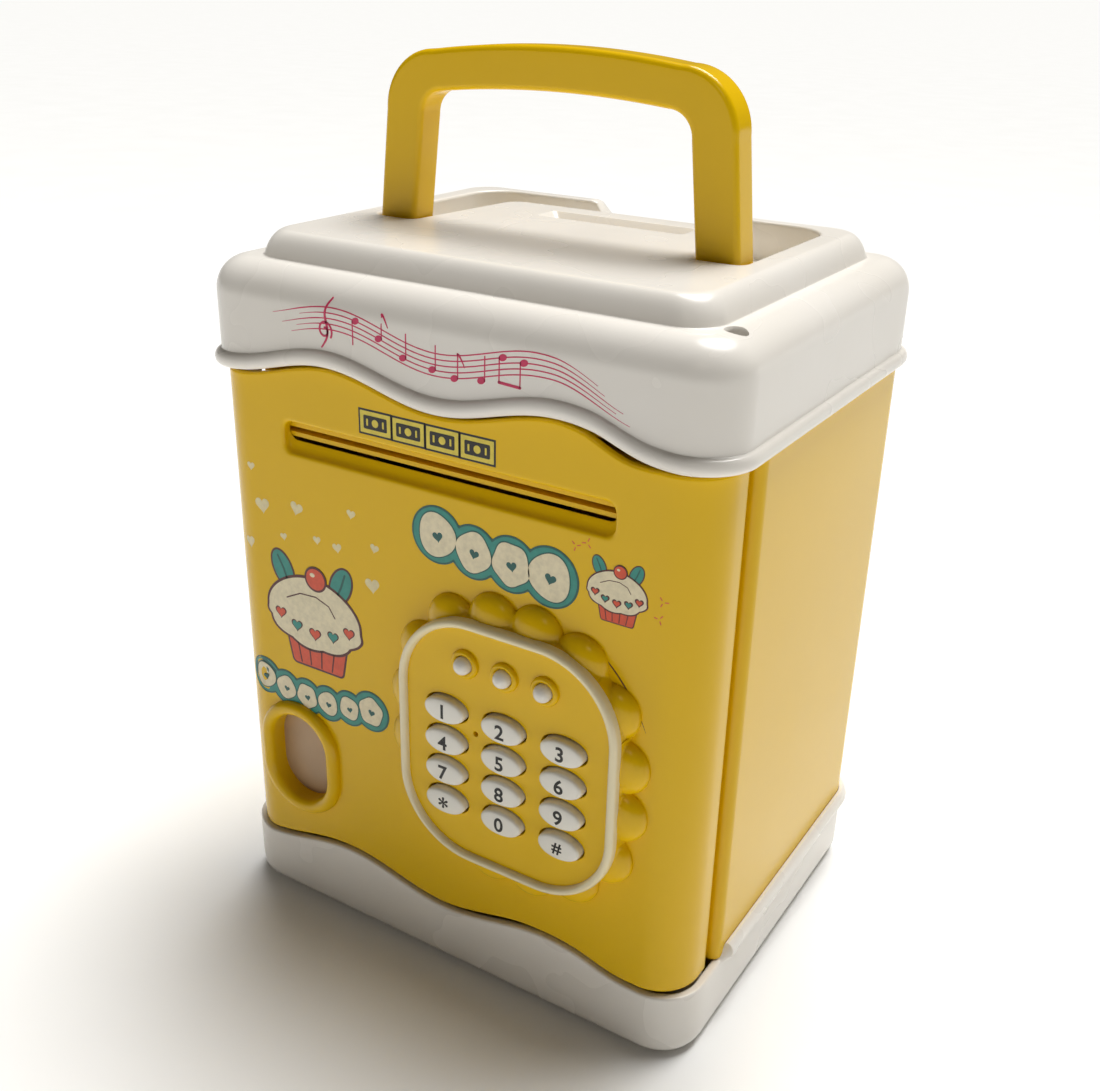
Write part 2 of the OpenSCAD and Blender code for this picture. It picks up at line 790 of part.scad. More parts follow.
module door_panel() {
    color(yellow)
    difference() {
        union() {
            intersection() {
                translate([0, 0, 5])
                    linear_extrude(ledge_h - 10)
                        door_plan();
                plate_y(-far, far)
                    polygon(concat([for (x = span) [x, door_top(x)]],
                        [for (i = [len(span) - 1:-1:0]) [span[i], door_foot(span[i])]]));
            }
            // raised rim of the finger window
            translate([finger_x, 0, finger_z])
                plate_y(face_y - 2.4, seat_y)
                    oval(finger_w + 2 * finger_rim, finger_h + 2 * finger_rim);
            for (p = door_screw_at)
                rod_y(p[0], p[1], skin_y - eps, door_back - inner_t, door_boss_r);
            for (p = board_screw_at)
                rod_y(p[0], p[1], skin_y - eps, board_y, post_r);
            // rim that the inner cover meets
            plate_y(skin_y - eps, tray_front)
                difference() {
                    tray_outline(0);
                    tray_outline(inner_t);
                }
        }
        // finger window, stepped for the lens
        translate([finger_x, 0, finger_z]) {
            plate_y(-far, far)
                oval(finger_w, finger_h);
            plate_y(skin_y + 0.4, far)
                oval(finger_w + 3, finger_h + 3);
        }
        // note slot with a sloped mouth
        plate_x(slot_x - slot_w / 2, slot_x + slot_w / 2)
            polygon([[face_y - 3, slot_bottom - slot_scoop * (lip_in + 3) / lip_in],
                [face_y + lip_in, slot_bottom], [skin_y + 1, slot_bottom], [skin_y + 1, slot_top],
                [face_y - 3, slot_top]]);
        // keypad openings
        for (c = [-1:1], k = [0:3])
            rod_y(pad_x + c * key_px, pad_z + key_row - k * key_pz, -far, 0, stem_r + stem_gap);
        for (c = [-1:1])
            rod_y(pad_x + c * led_px, pad_z + led_row, -far, 0, led_r + 0.05);
        for (p = door_screw_at)
            rod_y(p[0], p[1], skin_y + 3, 0, screw_r);
        for (p = board_screw_at)
            rod_y(p[0], p[1], skin_y, 0, screw_r);
        rod_z(hinge_x, hinge_y, 0, base_h + hinge_grip + 1, hinge_pin_r + run_fit);
        rod_z(hinge_x, hinge_y, cover_z - door_gap - hinge_grip - 1, far, hinge_pin_r + run_fit);
    }
}

module tray_outline(inset) {
    translate([tray_l + inset, tray_bottom + inset])
        square([tray_r - tray_l - 2 * inset, tray_top - tray_bottom - 2 * inset]);
}

module keypad_bezel() {
    color(yellow)
    difference() {
        union() {
            translate([pad_x, 0, pad_z]) {
                plate_y(pad_y, face_y)
                    rrect(2 * ring_a + 1.4, 2 * ring_b + 1.4, 20);
                plate_y(pad_y + 0.8, face_y)
                    for (i = [0:lobes - 1])
                        let (a = 360 * (i + 0.5) / lobes)
                            translate(soft(a, 2.6) * [lobe_a * cos(a), lobe_b * sin(a)])
                                circle(lobe_r);
                plate_y(pad_y, face_y)
                    rrect(2 * lobe_a - 4, 2 * lobe_b - 4, 20);
            }
            for (c = [-1:1])
                rod_y(pad_x + c * led_px, pad_z + led_row, pad_y - cup_out, face_y, led_r + cup_wall);
        }
        translate([pad_x, 0, pad_z])
            plate_y(pad_y - far, pad_y + ring_seat)
                ring_shape();
        for (c = [-1:1], k = [0:3])
            translate([pad_x + c * key_px, 0, pad_z + key_row - k * key_pz]) {
                plate_y(-far, key_floor)
                    oval(key_l + 2 * key_gap, key_h + 2 * key_gap);
                rod_y(0, 0, -far, 0, stem_r + stem_gap);
            }
        for (c = [-1:1])
            rod_y(pad_x + c * led_px, pad_z + led_row, -far, 0, led_r + 0.05);
    }
}

module ring_shape() {
    difference() {
        rrect(2 * ring_a, 2 * ring_b, 19);
        rrect(2 * (ring_a - ring_w), 2 * (ring_b - ring_w), 19 - ring_w);
    }
}

module trim_ring() {
    color(white)
    translate([pad_x, 0, pad_z])
        plate_y(pad_y - ring_out, pad_y + ring_seat)
            ring_shape();
}

module indicator(c) {
    x = pad_x + c * led_px;
    z = pad_z + led_row;
    color([0.95, 0.93, 0.85]) {
        rod_y(x, z, pad_y - cup_out, skin_y + 0.2, led_r);
        rod_y(x, z, skin_y, skin_y + 1, led_r + 0.5);
        translate([x, pad_y - cup_out, z])
            intersection() {
                sphere(led_r);
                box([-5, -5, -5], [5, eps, 5]);
            }
    }
}

// The key in column c and row k, counted from the top left.
module key_cap(c, k) {
    color(white)
    translate([pad_x + (c - 1) * key_px, 0, pad_z + key_row - k * key_pz]) {
        plate_y(pad_y - key_out, key_back)
            oval(key_l, key_h);
        rod_y(0, 0, key_back - eps, stem_end, stem_r);
    }
}

module keypad_membrane() {
    color([0.75, 0.75, 0.72])
    difference() {
        box([board_l + 8, board_y - membrane_t, board_bottom + 6],
            [board_r - 1, board_y, pad_z + led_row - 4]);
        rod_y(pad_x - 20, pad_z - 25, -far, 0, 0.8);
    }
}

module main_board() {
    color([0.1, 0.35, 0.2]) {
        difference() {
            box([board_l, board_y, board_bottom], [board_r, board_y + board_t, board_top]);
            for (p = board_screw_at)
                rod_y(p[0], p[1], board_y - 1, 0, screw_r);
        }
        box([board_l + 3, board_y + board_t - eps, board_bottom + 6],
            [board_l + 9, board_y + board_t + 1.2, board_bottom + 18]);
        box([board_l + 1, board_y + board_t - eps, board_top - 16],
            [board_l + 6.5, board_y + board_t + 5, board_top - 8]);
    }
}

module finger_lens() {
    color([0.85, 0.8, 0.72])
    translate([finger_x, 0, finger_z])
        plate_y(skin_y + 0.4, skin_y + 1.8)
            oval(finger_w + 2.6, finger_h + 2.6);
}

module finger_lamp_board() {
    half = finger_h / 2 + 2.5;
    color([0.1, 0.35, 0.2]) {
        box([tray_l + inner_t + 0.5, seat_y, finger_z - half],
            [finger_x + finger_w / 2 + 2.5, seat_y + board_t, finger_z + half]);
        rod_y(finger_x, finger_z, seat_y - 0.6, seat_y + eps, 1.5);
    }
}

module feed_plate(x0) {
    difference() {
        box([x0, skin_y, motor_z - motor_r - 1], [x0 + plate_t, guide_back, pinch_z + pinch_r + 0.6]);
        rod_x(feed_y, drive_z, -far, far, shaft_r + run_fit);
        rod_x(feed_y, pinch_z, -far, far, pinch_shaft_r + run_fit);
        rod_x(feed_y, motor_z, -far, far, motor_shaft_r + 1);
    }
}

module note_guide_lower() {
    color([0.2, 0.2, 0.22])
    difference() {
        union() {
            feed_plate(plate_l);
            feed_plate(plate_r);
            box([plate_l + plate_t - eps, skin_y + 0.2, slot_z - guide_gap - guide_t],
                [plate_r + eps, guide_back - 0.4, slot_z - guide_gap]);
        }
        roller_windows(drive_r);
    }
}

module roller_windows(r) {
    for (s = [-1, 1])
        box([slot_x + s * roller_x - roller_w / 2 - 1, feed_y - r - 0.6, slot_z - 3],
            [slot_x + s * roller_x + roller_w / 2 + 1, feed_y + r + 0.6, slot_z + 3]);
}

module note_guide_upper() {
    color([0.2, 0.2, 0.22])
    difference() {
        box([plate_l + plate_t, skin_y + 0.2, slot_z + guide_gap],
            [plate_r, guide_back - 0.4, slot_z + guide_gap + guide_t]);
        roller_windows(pinch_r);
    }
}

module drive_roller_shaft() {
    color(steel)
    rod_x(feed_y, drive_z, plate_l - 1, gear_x + gear_w, shaft_r);
}

module rollers(z, r, bore) {
    color(rubber)
    for (s = [-1, 1])
        difference() {
            rod_x(feed_y, z, slot_x + s * roller_x - roller_w / 2, slot_x + s * roller_x + roller_w / 2, r);
            rod_x(feed_y, z, -far, far, bore);
        }
}

module drive_rollers() {
    rollers(drive_z, drive_r, shaft_r);
}

module pinch_roller_shaft() {
    color(steel)
    rod_x(feed_y, pinch_z, plate_l - 1, plate_r + plate_t, pinch_shaft_r);
}

module pinch_rollers() {
    rollers(pinch_z, pinch_r, pinch_shaft_r);
}

module drive_gear() {
    color([0.9, 0.9, 0.88])
    translate([0, feed_y, drive_z])
        plate_x(gear_x, gear_x + gear_w)
            difference() {
                rotate(180 / gear_teeth + 90)
                    polygon(gear_points(gear_m, gear_teeth));
                circle(shaft_r);
            }
}

module motor_pinion() {
    color(steel) {
        translate([0, feed_y, motor_z])
            plate_x(gear_x, gear_x + gear_w)
                rotate(90)
                    polygon(gear_points(gear_m, pinion_teeth));
        rod_x(feed_y, motor_z, plate_r - motor_l / 2, gear_x + eps, motor_shaft_r);
    }
}

module feed_motor() {
    color(steel)
    difference() {
        rod_x(feed_y, motor_z, plate_r - motor_l, plate_r, motor_r);
        rod_x(feed_y, motor_z, plate_r - motor_l / 2 - 1, far, motor_shaft_r + run_fit);
    }
}

module door_inner_cover() {
    color(yellow)
    difference() {
        union() {
            difference() {
                plate_y(tray_front, door_back)
                    tray_outline(0);
                plate_y(-far, door_back - inner_t)
                    tray_outline(inner_t);
            }
            // battery box
            plate_y(cell_y - cell_r - 0.6, door_back)
                translate([box_l - box_wall, box_bottom - box_wall])
                    square([box_r - box_l + 2 * box_wall, box_top - box_bottom + 2 * box_wall]);
        }
        plate_y(cell_y - cell_r - 2, far)
            translate([box_l, box_bottom])
                square([box_r - box_l, box_top - box_bottom]);
        // note outlet
        plate_y(door_back - inner_t - 1, far)
            translate([slot_x - slot_w / 2 - 1, slot_z - 4])
                square([slot_w + 2, 9]);
        // sound slots
        for (k = [-2:2])
            translate([speaker_x, 0, speaker_z + k * 4])
                plate_y(door_back - inner_t - 1, far)
                    oval(16, 1.6);
        // way out for the latch bolt
        box([-far, bolt_y - 0.4, bolt_z - bolt_h / 2 - 0.4],
            [tray_l + inner_t + 1, bolt_y + bolt_t + 0.4, bolt_z + bolt_h / 2 + 0.4]);
        for (p = door_screw_at)
            rod_y(p[0], p[1], door_back - inner_t - 1, far, screw_r + 0.2);
    }
}

module speaker() {
    color([0.15, 0.15, 0.16]) {
        rod_y(speaker_x, speaker_z, door_back - inner_t - 4, door_back - inner_t, speaker_r);
        rod_y(speaker_x, speaker_z, door_back - inner_t - 10, door_back - inner_t - 4 + eps, speaker_r / 2);
    }
}

module battery_cells() {
    color([0.2, 0.2, 0.22])
    for (i = [0:cells - 1]) {
        x = cell_x - i * cell_pitch;
        rod_z(x, cell_y, cell_z, cell_z + cell_l - 1, cell_r);
        rod_z(x, cell_y, cell_z + cell_l - 1 - eps, cell_z + cell_l, 2.7);
    }
}

module battery_contacts() {
    color(steel)
    for (z = [box_bottom, cell_z + cell_l], i = [0:cells - 1])
        box([cell_x - i * cell_pitch - 5, cell_y - 5, z], [cell_x - i * cell_pitch + 5, cell_y + 5, z + contact_t]);
}

module battery_cover() {
    color(yellow)
    box([box_l + hatch_gap, door_back - inner_t, box_bottom + hatch_gap],
        [box_r - hatch_gap, door_back, box_top - hatch_gap]);
}

module lock_solenoid() {
    color(steel)
    difference() {
        box([lock_x, bolt_y + bolt_t / 2 - lock_t / 2, lock_z],
            [lock_x + lock_l, door_back - inner_t, lock_z + lock_h]);
        rod_x(bolt_y + bolt_t / 2, bolt_z, lock_x - 1, lock_x + lock_l - 2, plunger_r + run_fit);
    }
}

module latch_bolt() {
    color(white)
    box([bolt_tip, bolt_y, bolt_z - bolt_h / 2], [lock_x - 4.4, bolt_y + bolt_t, bolt_z + bolt_h / 2]);
    color(steel)
    rod_x(bolt_y + bolt_t / 2, bolt_z, lock_x - 4.4 - eps, lock_x + lock_l - 8, plunger_r);
}

// A coil of round wire, swept along a helix.
spring_turns = 3;
spring_r = 2.5;
spring_wire = 0.25;
spring_x0 = lock_x - 4.1;
spring_l = 3.8;
spring_steps = 20;

function spring_point(i, j) =
    let (a = 360 * i / spring_steps, b = 45 * j, q = spring_r + spring_wire * cos(b))
    [spring_x0 + spring_l * i / (spring_turns * spring_steps) + spring_wire * sin(b),
        bolt_y + bolt_t / 2 + q * cos(a), bolt_z + q * sin(a)];

module latch_spring() {
    n = spring_turns * spring_steps;
    color(steel)
    polyhedron(
        [for (i = [0:n], j = [0:7]) spring_point(i, j)],
        concat(
            [for (i = [0:n - 1], j = [0:7])
                [8 * i + j, 8 * i + (j + 1) % 8, 8 * i + 8 + (j + 1) % 8, 8 * i + 8 + j]],
            [[for (j = [7:-1:0]) j], [for (j = [0:7]) 8 * n + j]]));
}

module door_screws() {
    color(steel)
    for (p = door_screw_at) {
        rod_y(p[0], p[1], door_back - inner_t - 8, door_back + eps, screw_r);
        rod_y(p[0], p[1], door_back, door_back + head_h, head_r);
    }
}

module board_screws() {
    color(steel)
    for (p = board_screw_at) {
        rod_y(p[0], p[1], skin_y + 0.2, board_y + board_t + eps, screw_r);
        rod_y(p[0], p[1], board_y + board_t, board_y + board_t + 1.2, 2);
    }
}

base_tray();
body_shell();
latch_keeper();
top_cover();
coin_chute();
cover_screws();
base_screws();
upper_hinge_pin();
lower_hinge_pin();
handle();
handle_pins();
door_panel();
keypad_bezel();
trim_ring();
indicator(-1);  // indicator_left
indicator(0);  // indicator_middle
indicator(1);  // indicator_right
key_cap(0, 0);  // key_1
key_cap(1, 0);  // key_2
key_cap(2, 0);  // key_3
key_cap(0, 1);  // key_4
key_cap(1, 1);  // key_5
key_cap(2, 1);  // key_6
key_cap(0, 2);  // key_7
key_cap(1, 2);  // key_8
key_cap(2, 2);  // key_9
key_cap(0, 3);  // key_star
key_cap(1, 3);  // key_0
key_cap(2, 3);  // key_hash
keypad_membrane();
main_board();
finger_lens();
finger_lamp_board();
note_guide_lower();
note_guide_upper();
drive_roller_shaft();
drive_rollers();
drive_gear();
pinch_roller_shaft();
pinch_rollers();
feed_motor();
motor_pinion();
door_inner_cover();
speaker();
battery_cells();
battery_contacts();
battery_cover();
lock_solenoid();
latch_bolt();
latch_spring();
door_screws();
board_screws();
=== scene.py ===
import math

import bmesh
import bpy
import numpy as np
from mathutils import Matrix, Vector
from mathutils.geometry import delaunay_2d_cdt


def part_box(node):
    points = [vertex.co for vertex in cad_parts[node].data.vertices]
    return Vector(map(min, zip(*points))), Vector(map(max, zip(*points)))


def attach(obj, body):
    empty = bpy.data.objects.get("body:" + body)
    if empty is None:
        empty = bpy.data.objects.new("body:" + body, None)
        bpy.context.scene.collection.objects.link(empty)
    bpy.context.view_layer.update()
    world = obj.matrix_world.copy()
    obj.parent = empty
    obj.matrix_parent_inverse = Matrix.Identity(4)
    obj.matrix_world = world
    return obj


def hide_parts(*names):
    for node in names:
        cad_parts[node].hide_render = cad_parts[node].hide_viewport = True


bl_info = {
    "name": "Toy Safe Coin Bank",
    "version": (1, 0, 0),
    "blender": (4, 5, 0),
    "location": "3D View > Sidebar > Coin Bank",
    "description": "Builds the finished looks of a toy safe coin bank around its packed frame",
    "category": "Object",
}

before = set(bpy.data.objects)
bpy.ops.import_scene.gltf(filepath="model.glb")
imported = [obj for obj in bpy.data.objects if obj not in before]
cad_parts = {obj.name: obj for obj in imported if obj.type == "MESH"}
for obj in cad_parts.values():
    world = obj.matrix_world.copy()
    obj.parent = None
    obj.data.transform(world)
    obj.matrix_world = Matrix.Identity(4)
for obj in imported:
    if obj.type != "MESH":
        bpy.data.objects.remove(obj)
MM = 0.001


def linear(code):
    """Turns an sRGB hex colour into linear red, green and blue."""
    c = np.array([int(code[i:i + 2], 16) for i in (1, 3, 5)]) / 255
    return tuple(float(v) for v in np.where(c <= 0.04045, c / 12.92, ((c + 0.055) / 1.055) ** 2.4))


def box_mm(name):
    """Lowest and highest corner of a frame node, in millimetres."""
    low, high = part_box(name)
    return np.array(low) / MM, np.array(high) / MM


# Places that the frame fixes, in millimetres: half widths, depths, heights and radii of the mouldings.
COVER_LOW, COVER_HIGH = box_mm("top_cover")
DIAL_LOW, DIAL_HIGH = box_mm("keypad_bezel")
LENS_LOW, LENS_HIGH = box_mm("finger_lens")
HANDLE_LOW, HANDLE_HIGH = box_mm("handle")
CHUTE_LOW, CHUTE_HIGH = box_mm("coin_chute")
HALF_W, HALF_D, _ = box_mm("body_shell")[1]
LAP = 0.6
OUT_W, OUT_D, OUT_R = HALF_W + LAP, HALF_D + LAP, 10.6
FACE_Y = -HALF_D
HANDLE_A = float(HANDLE_HIGH[0])
PIVOT_Y, PIVOT_Z = float(HANDLE_LOW[1] + HANDLE_HIGH[1]) / 2, 164.5
HANDLE_BACK = PIVOT_Y + float(HANDLE_HIGH[2]) - PIVOT_Z
COVER_Z = float(COVER_LOW[2])
LEDGE_Z, PLAT_Z = 163.5, float(COVER_HIGH[2])
PLAT_A, PLAT_B, PLAT_R = 55.5, 44.0, 7.6
BASE_H = 17.4
DOOR_HW = float(box_mm("door_panel")[1][0])
DOOR_T, DOOR_R = 2.2, 10.0
BARREL_R = 4.5
PRINT_X = 2.0
HINGE_X, HINGE_Y = DOOR_HW - BARREL_R, FACE_Y + 12.5
DIAL_X = float(DIAL_LOW[0] + DIAL_HIGH[0]) / 2
DIAL_Z = float(DIAL_LOW[2] + DIAL_HIGH[2]) / 2
DIAL_Y = FACE_Y - 4.2
FINGER_X = float(LENS_LOW[0] + LENS_HIGH[0]) / 2
FINGER_Z = float(LENS_LOW[2] + LENS_HIGH[2]) / 2
WINDOW_A, WINDOW_B = 8.7, 12.15
SLOT_L, SLOT_R, SLOT_B, SLOT_T = -42.0, 42.0, 125.3, 130.1
LOBE_A, LOBE_B, LOBE_R, LOBES = 26.6, 30.0, 6.45, 16
KEY_A, KEY_B = 5.2, 3.0
KEYS = ["key_1", "key_2", "key_3", "key_4", "key_5", "key_6", "key_7", "key_8", "key_9",
        "key_star", "key_0", "key_hash"]


# ---------------------------------------------------------------- settings

def colour_setting(name, description, code):
    """A colour that the panel shows, given by its sRGB hex code."""
    return bpy.props.FloatVectorProperty(name=name, description=description, subtype="COLOR", size=3,
                                         min=0, max=1, default=linear(code))


def length_setting(name, description, size, low, high):
    """A length that the panel shows, given in millimetres."""
    return bpy.props.FloatProperty(name=name, description=description, unit="LENGTH",
                                   default=size * MM, min=low * MM, max=high * MM)


class BankColours(bpy.types.PropertyGroup):
    yellow: colour_setting("Yellow", "Body, door and handle", "#EDC002")
    white: colour_setting("White", "Cover and base", "#EEEAE3")
    key_white: colour_setting("Key white", "Keys", "#F3F0E6")
    teal: colour_setting("Teal ink", "Printed badges", "#2F9487")
    cream: colour_setting("Cream ink", "Printed bubbles and icing", "#EFE3C0")
    brown: colour_setting("Brown ink", "Printed outlines", "#571F1B")
    orange: colour_setting("Orange ink", "Printed cake cases", "#E2532E")
    pink: colour_setting("Pink ink", "Printed music lines", "#D22C5E")


class BankSizes(bpy.types.PropertyGroup):
    cover_bead: length_setting("Cover bead height", "Height of the bead on the cover", 3.5, 2, 4)
    cover_round: length_setting("Cover edge", "Radius of the cover's upper edge", 7.5, 4, 8.5)
    platform_round: length_setting("Platform edge", "Width of the platform's soft edge", 4.2, 1, 5)
    door_edge: length_setting("Door edge", "Radius of the door's edges", 0.7, 0.2, 1)
    handle_edge: length_setting("Handle edge", "Radius of the handle's long edges", 1.3, 0.3, 3)
    ink: length_setting("Ink step", "Height of one printed layer", 0.03, 0.01, 0.1)


# ---------------------------------------------------------------- curves of the moulding

def smooth(t):
    """Smooth step: 3 t squared minus 2 t cubed, held between 0 and 1."""
    t = np.clip(t, 0, 1)
    return t * t * (3 - 2 * t)


def fade(x):
    """1 along the front, falling to 0 at the left corner and before the hinge."""
    return smooth((HINGE_X - x) / 22) * smooth((x + HALF_W) / 10)


def wave(x):
    """Cosine of 57 mm length with its crest 28 mm left of the middle."""
    return np.cos(2 * np.pi * (x + 28) / 57)


def cover_edge(x):
    """Lower edge of the cover: side height plus the faded wave."""
    return COVER_Z + fade(x) * (3 + 2.4 * wave(x))


def base_edge(x):
    """Upper edge of the base's front: side height plus the faded wave."""
    return BASE_H - 0.4 + fade(x) * (1.3 + 2.2 * wave(x))


def drift(x):
    """How far a point of the door moves sideways before it is clear of the edges."""
    return np.minimum(22, 7 * 12.5 / np.maximum(1, HINGE_X - x))


def door_top(x):
    """Lowest cover edge that a point of the door passes as it swings, less a gap of 0.8 mm."""
    return np.min([cover_edge(x + k * drift(x)) for k in np.linspace(0, 1, 5)], axis=0) - 0.8


def door_foot(x):
    """Highest base edge that a point of the door passes as it swings, and a gap of 0.8 mm."""
    return np.max([base_edge(x + k * drift(x)) for k in np.linspace(0, 1, 5)], axis=0) + 0.8


def wrap(s, d):
    """Door surface at arc length s from the middle and depth d: flat, then a quarter turn of radius
    DOOR_R, then straight back."""
    side, flat, r = np.sign(s), DOOR_HW - DOOR_R, DOOR_R
    a = np.clip((np.abs(s) - flat) / r, 0, np.pi / 2)
    past = np.maximum(0, np.abs(s) - flat - r * np.pi / 2)
    x = np.minimum(np.abs(s), flat) + (r - d) * np.sin(a)
    y = FACE_Y + r - (r - d) * np.cos(a) + past
    return side * x, y


def arc_length(x):
    """Arc length from the middle of the door at which the skin reaches x."""
    flat = DOOR_HW - DOOR_R
    over = np.clip((np.abs(x) - flat) / DOOR_R, 0, 1)
    return np.sign(x) * (np.minimum(np.abs(x), flat) + DOOR_R * np.arcsin(over))


def rounded_rect(a, b, r, along=72, across=24, corner=10):
    """Rounded rectangle of half sizes a and b: four straight sides joined by quarter turns of radius r."""
    r = min(r, a - 0.01, b - 0.01)
    p, q = a - r, b - r
    turn = np.linspace(0, np.pi / 2, corner, endpoint=False)
    u, v = np.linspace(-1, 1, along, endpoint=False), np.linspace(-1, 1, across, endpoint=False)
    parts = []
    sides = ((u, p, p, -q), (v, q, p, q), (u, p, -p, q), (v, q, -p, -q))
    for k, (side, length, cx, cy) in enumerate(sides):
        start = (k - 1) * np.pi / 2
        c, s = math.cos(start), math.sin(start)
        reach = b if k % 2 == 0 else a
        parts.append(np.stack([reach * c - side * length * s, reach * s + side * length * c], 1))
        parts.append(np.stack([cx + r * np.cos(start + turn), cy + r * np.sin(start + turn)], 1))
    return np.concatenate(parts)


def soft_outline(corners, step):
    """Outline through corners (x, y, radius): each corner becomes an arc that touches both its sides."""
    arcs = []
    for k, (x, y, r) in enumerate(corners):
        p = np.array([x, y])
        u, v = (np.array(corners[j][:2]) - p for j in (k - 1, (k + 1) % len(corners)))
        u, v = u / np.linalg.norm(u), v / np.linalg.norm(v)
        half = math.acos(np.clip(u @ v, -1, 1)) / 2
        middle = p + (u + v) / np.linalg.norm(u + v) * r / math.sin(half)
        a, b = (p + w * r / math.tan(half) - middle for w in (u, v))
        start = math.atan2(a[1], a[0])
        sweep = (math.atan2(b[1], b[0]) - start + np.pi) % (2 * np.pi) - np.pi
        t = start + sweep * np.linspace(0, 1, max(4, int(abs(sweep) / 0.17)))
        arcs.append(middle + r * np.stack([np.cos(t), np.sin(t)], 1))
    out = []
    for k, arc in enumerate(arcs):
        gap = arcs[(k + 1) % len(arcs)][0] - arc[-1]
        n = max(1, int(np.linalg.norm(gap) / step))
        out += [arc, arc[-1] + gap * (np.arange(1, n) / n)[:, None]]
    return np.concatenate(out)


def shrink(path, d):
    """Moves a counter-clockwise outline inwards by d, along the mean normal of its two neighbouring sides."""
    ahead = np.roll(path, -1, 0) - path
    ahead /= np.linalg.norm(ahead, axis=1)[:, None]
    normal = ahead + np.roll(ahead, 1, 0)
    normal = np.stack([-normal[:, 1], normal[:, 0]], 1)
    return path + d * normal / np.maximum(1e-9, np.linalg.norm(normal, axis=1))[:, None]


def stadium(a, b):
    """Upright bar with round ends: half width a, half height b."""
    t = np.linspace(0, np.pi, 28)
    top = np.stack([a * np.cos(t), b - a + a * np.sin(t)], 1)
    return np.concatenate([top, -top])


def squircle(a, b, power, n=72):
    """Closed curve |x/a|^power + |z/b|^power = 1."""
    t = np.linspace(0, 2 * np.pi, n, endpoint=False)
    c, s = np.cos(t), np.sin(t)
    return np.stack([a * np.sign(c) * np.abs(c) ** (2 / power),
                     b * np.sign(s) * np.abs(s) ** (2 / power)], 1)


def circle(n):
    """Unit circle of n points."""
    t = np.linspace(0, 2 * np.pi, n, endpoint=False)
    return np.stack([np.cos(t), np.sin(t)], 1)


def lift(path, z):
    """Puts a plan outline at height z, a number or one height per point."""
    return np.column_stack([path, np.broadcast_to(z, len(path))])


def stand(path, y):
    """Puts an outline drawn in X and Z at depth y."""
    return np.column_stack([path[:, 0], np.broadcast_to(y, len(path)), path[:, 1]])


# ---------------------------------------------------------------- building

class Skin:
    """Gathers grids of points and flat fills, in millimetres, for one piece."""

    def __init__(self):
        self.points, self.faces, self.total = [], [], 0

    def add(self, points, faces):
        """Appends points, and faces that count from the first of them."""
        points = np.asarray(points, float).reshape(-1, 3)
        self.points.append(points)
        self.faces += (np.asarray(faces) + self.total).tolist()
        self.total += len(points)

    def rings(self, rings, loop=True, close=False, keep=None):
        """Joins each ring of points to the next: point i of ring k with point i of ring k + 1."""
        rings = np.asarray(rings, float)
        i = np.arange(rings.shape[0] * rings.shape[1]).reshape(rings.shape[:2])
        j = np.roll(i, -1, 1)
        if not loop:
            i, j = i[:, :-1], j[:, :-1]
        up, over = np.roll(i, -1, 0), np.roll(j, -1, 0)
        quads = np.stack([i, j, over, up], -1)
        if not close:
            quads = quads[:-1]
        self.add(rings, (quads if keep is None else quads[keep]).reshape(-1, 4))

    def fill(self, outlines, place):
        """Fills the flat area between outlines with triangles; place puts plan points in space."""
        verts, edges, total = [], [], 0
        for o in outlines:
            n = len(o)
            verts += [Vector(p) for p in o]
            edges += [(total + k, total + (k + 1) % n) for k in range(n)]
            total += n
        flat, _, faces, _, _, _ = delaunay_2d_cdt(verts, edges, [], 0, 1e-6)
        flat, faces = np.array([v[:] for v in flat]), np.array(faces)
        mid = flat[faces].mean(1)
        crossings = np.zeros(len(mid), int)
        for o in outlines:
            a, b = o, np.roll(o, -1, 0)
            above = (a[:, 1][None] > mid[:, 1][:, None]) != (b[:, 1][None] > mid[:, 1][:, None])
            rise = np.where(np.abs(b[:, 1] - a[:, 1]) < 1e-12, 1e-12, b[:, 1] - a[:, 1])
            at = a[:, 0][None] + (mid[:, 1][:, None] - a[:, 1][None]) * ((b[:, 0] - a[:, 0]) / rise)[None]
            crossings += (above & (at > mid[:, 0][:, None])).sum(1)
        self.add(place(flat), faces[crossings % 2 == 1])

    def solid(self, rings):
        """A closed body through rings, with both ends gathered to a point."""
        rings = np.asarray(rings, float)
        ends = [np.broadcast_to(rings[k].mean(0), rings[k].shape) for k in (0, -1)]
        self.rings(np.concatenate([ends[:1], rings, ends[1:]]))


def dress(piece, material, body, stands_for):
    """Gives a piece its material, its body and the frame nodes that it replaces."""
    piece.data.materials.clear()
    piece.data.materials.append(material)
    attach(piece, body)
    if stands_for:
        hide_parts(*stands_for)
    return piece


def finish_mesh(mesh, sharp=38):
    """Merges seams and poles, turns faces outwards and marks edges sharper than the given angle."""
    work = bmesh.new()
    work.from_mesh(mesh)
    bmesh.ops.remove_doubles(work, verts=work.verts, dist=3e-6)
    bmesh.ops.dissolve_degenerate(work, edges=work.edges, dist=1e-6)
    bmesh.ops.recalc_face_normals(work, faces=work.faces)
    work.to_mesh(mesh)
    work.free()
    mesh.shade_smooth()
    mesh.set_sharp_from_angle(angle=math.radians(sharp))


def even_shading(piece):
    """Lets big flat faces decide the shading beside small rounded ones."""
    m = piece.modifiers.new("even_shading", "WEIGHTED_NORMAL")
    m.keep_sharp = True
    return piece


def mesh_of(name, skin, sharp=38):
    """A finished mesh, in metres, from a skin."""
    mesh = bpy.data.meshes.new(name)
    mesh.from_pydata((np.concatenate(skin.points) * MM).tolist(), [], skin.faces)
    finish_mesh(mesh, sharp)
    return mesh


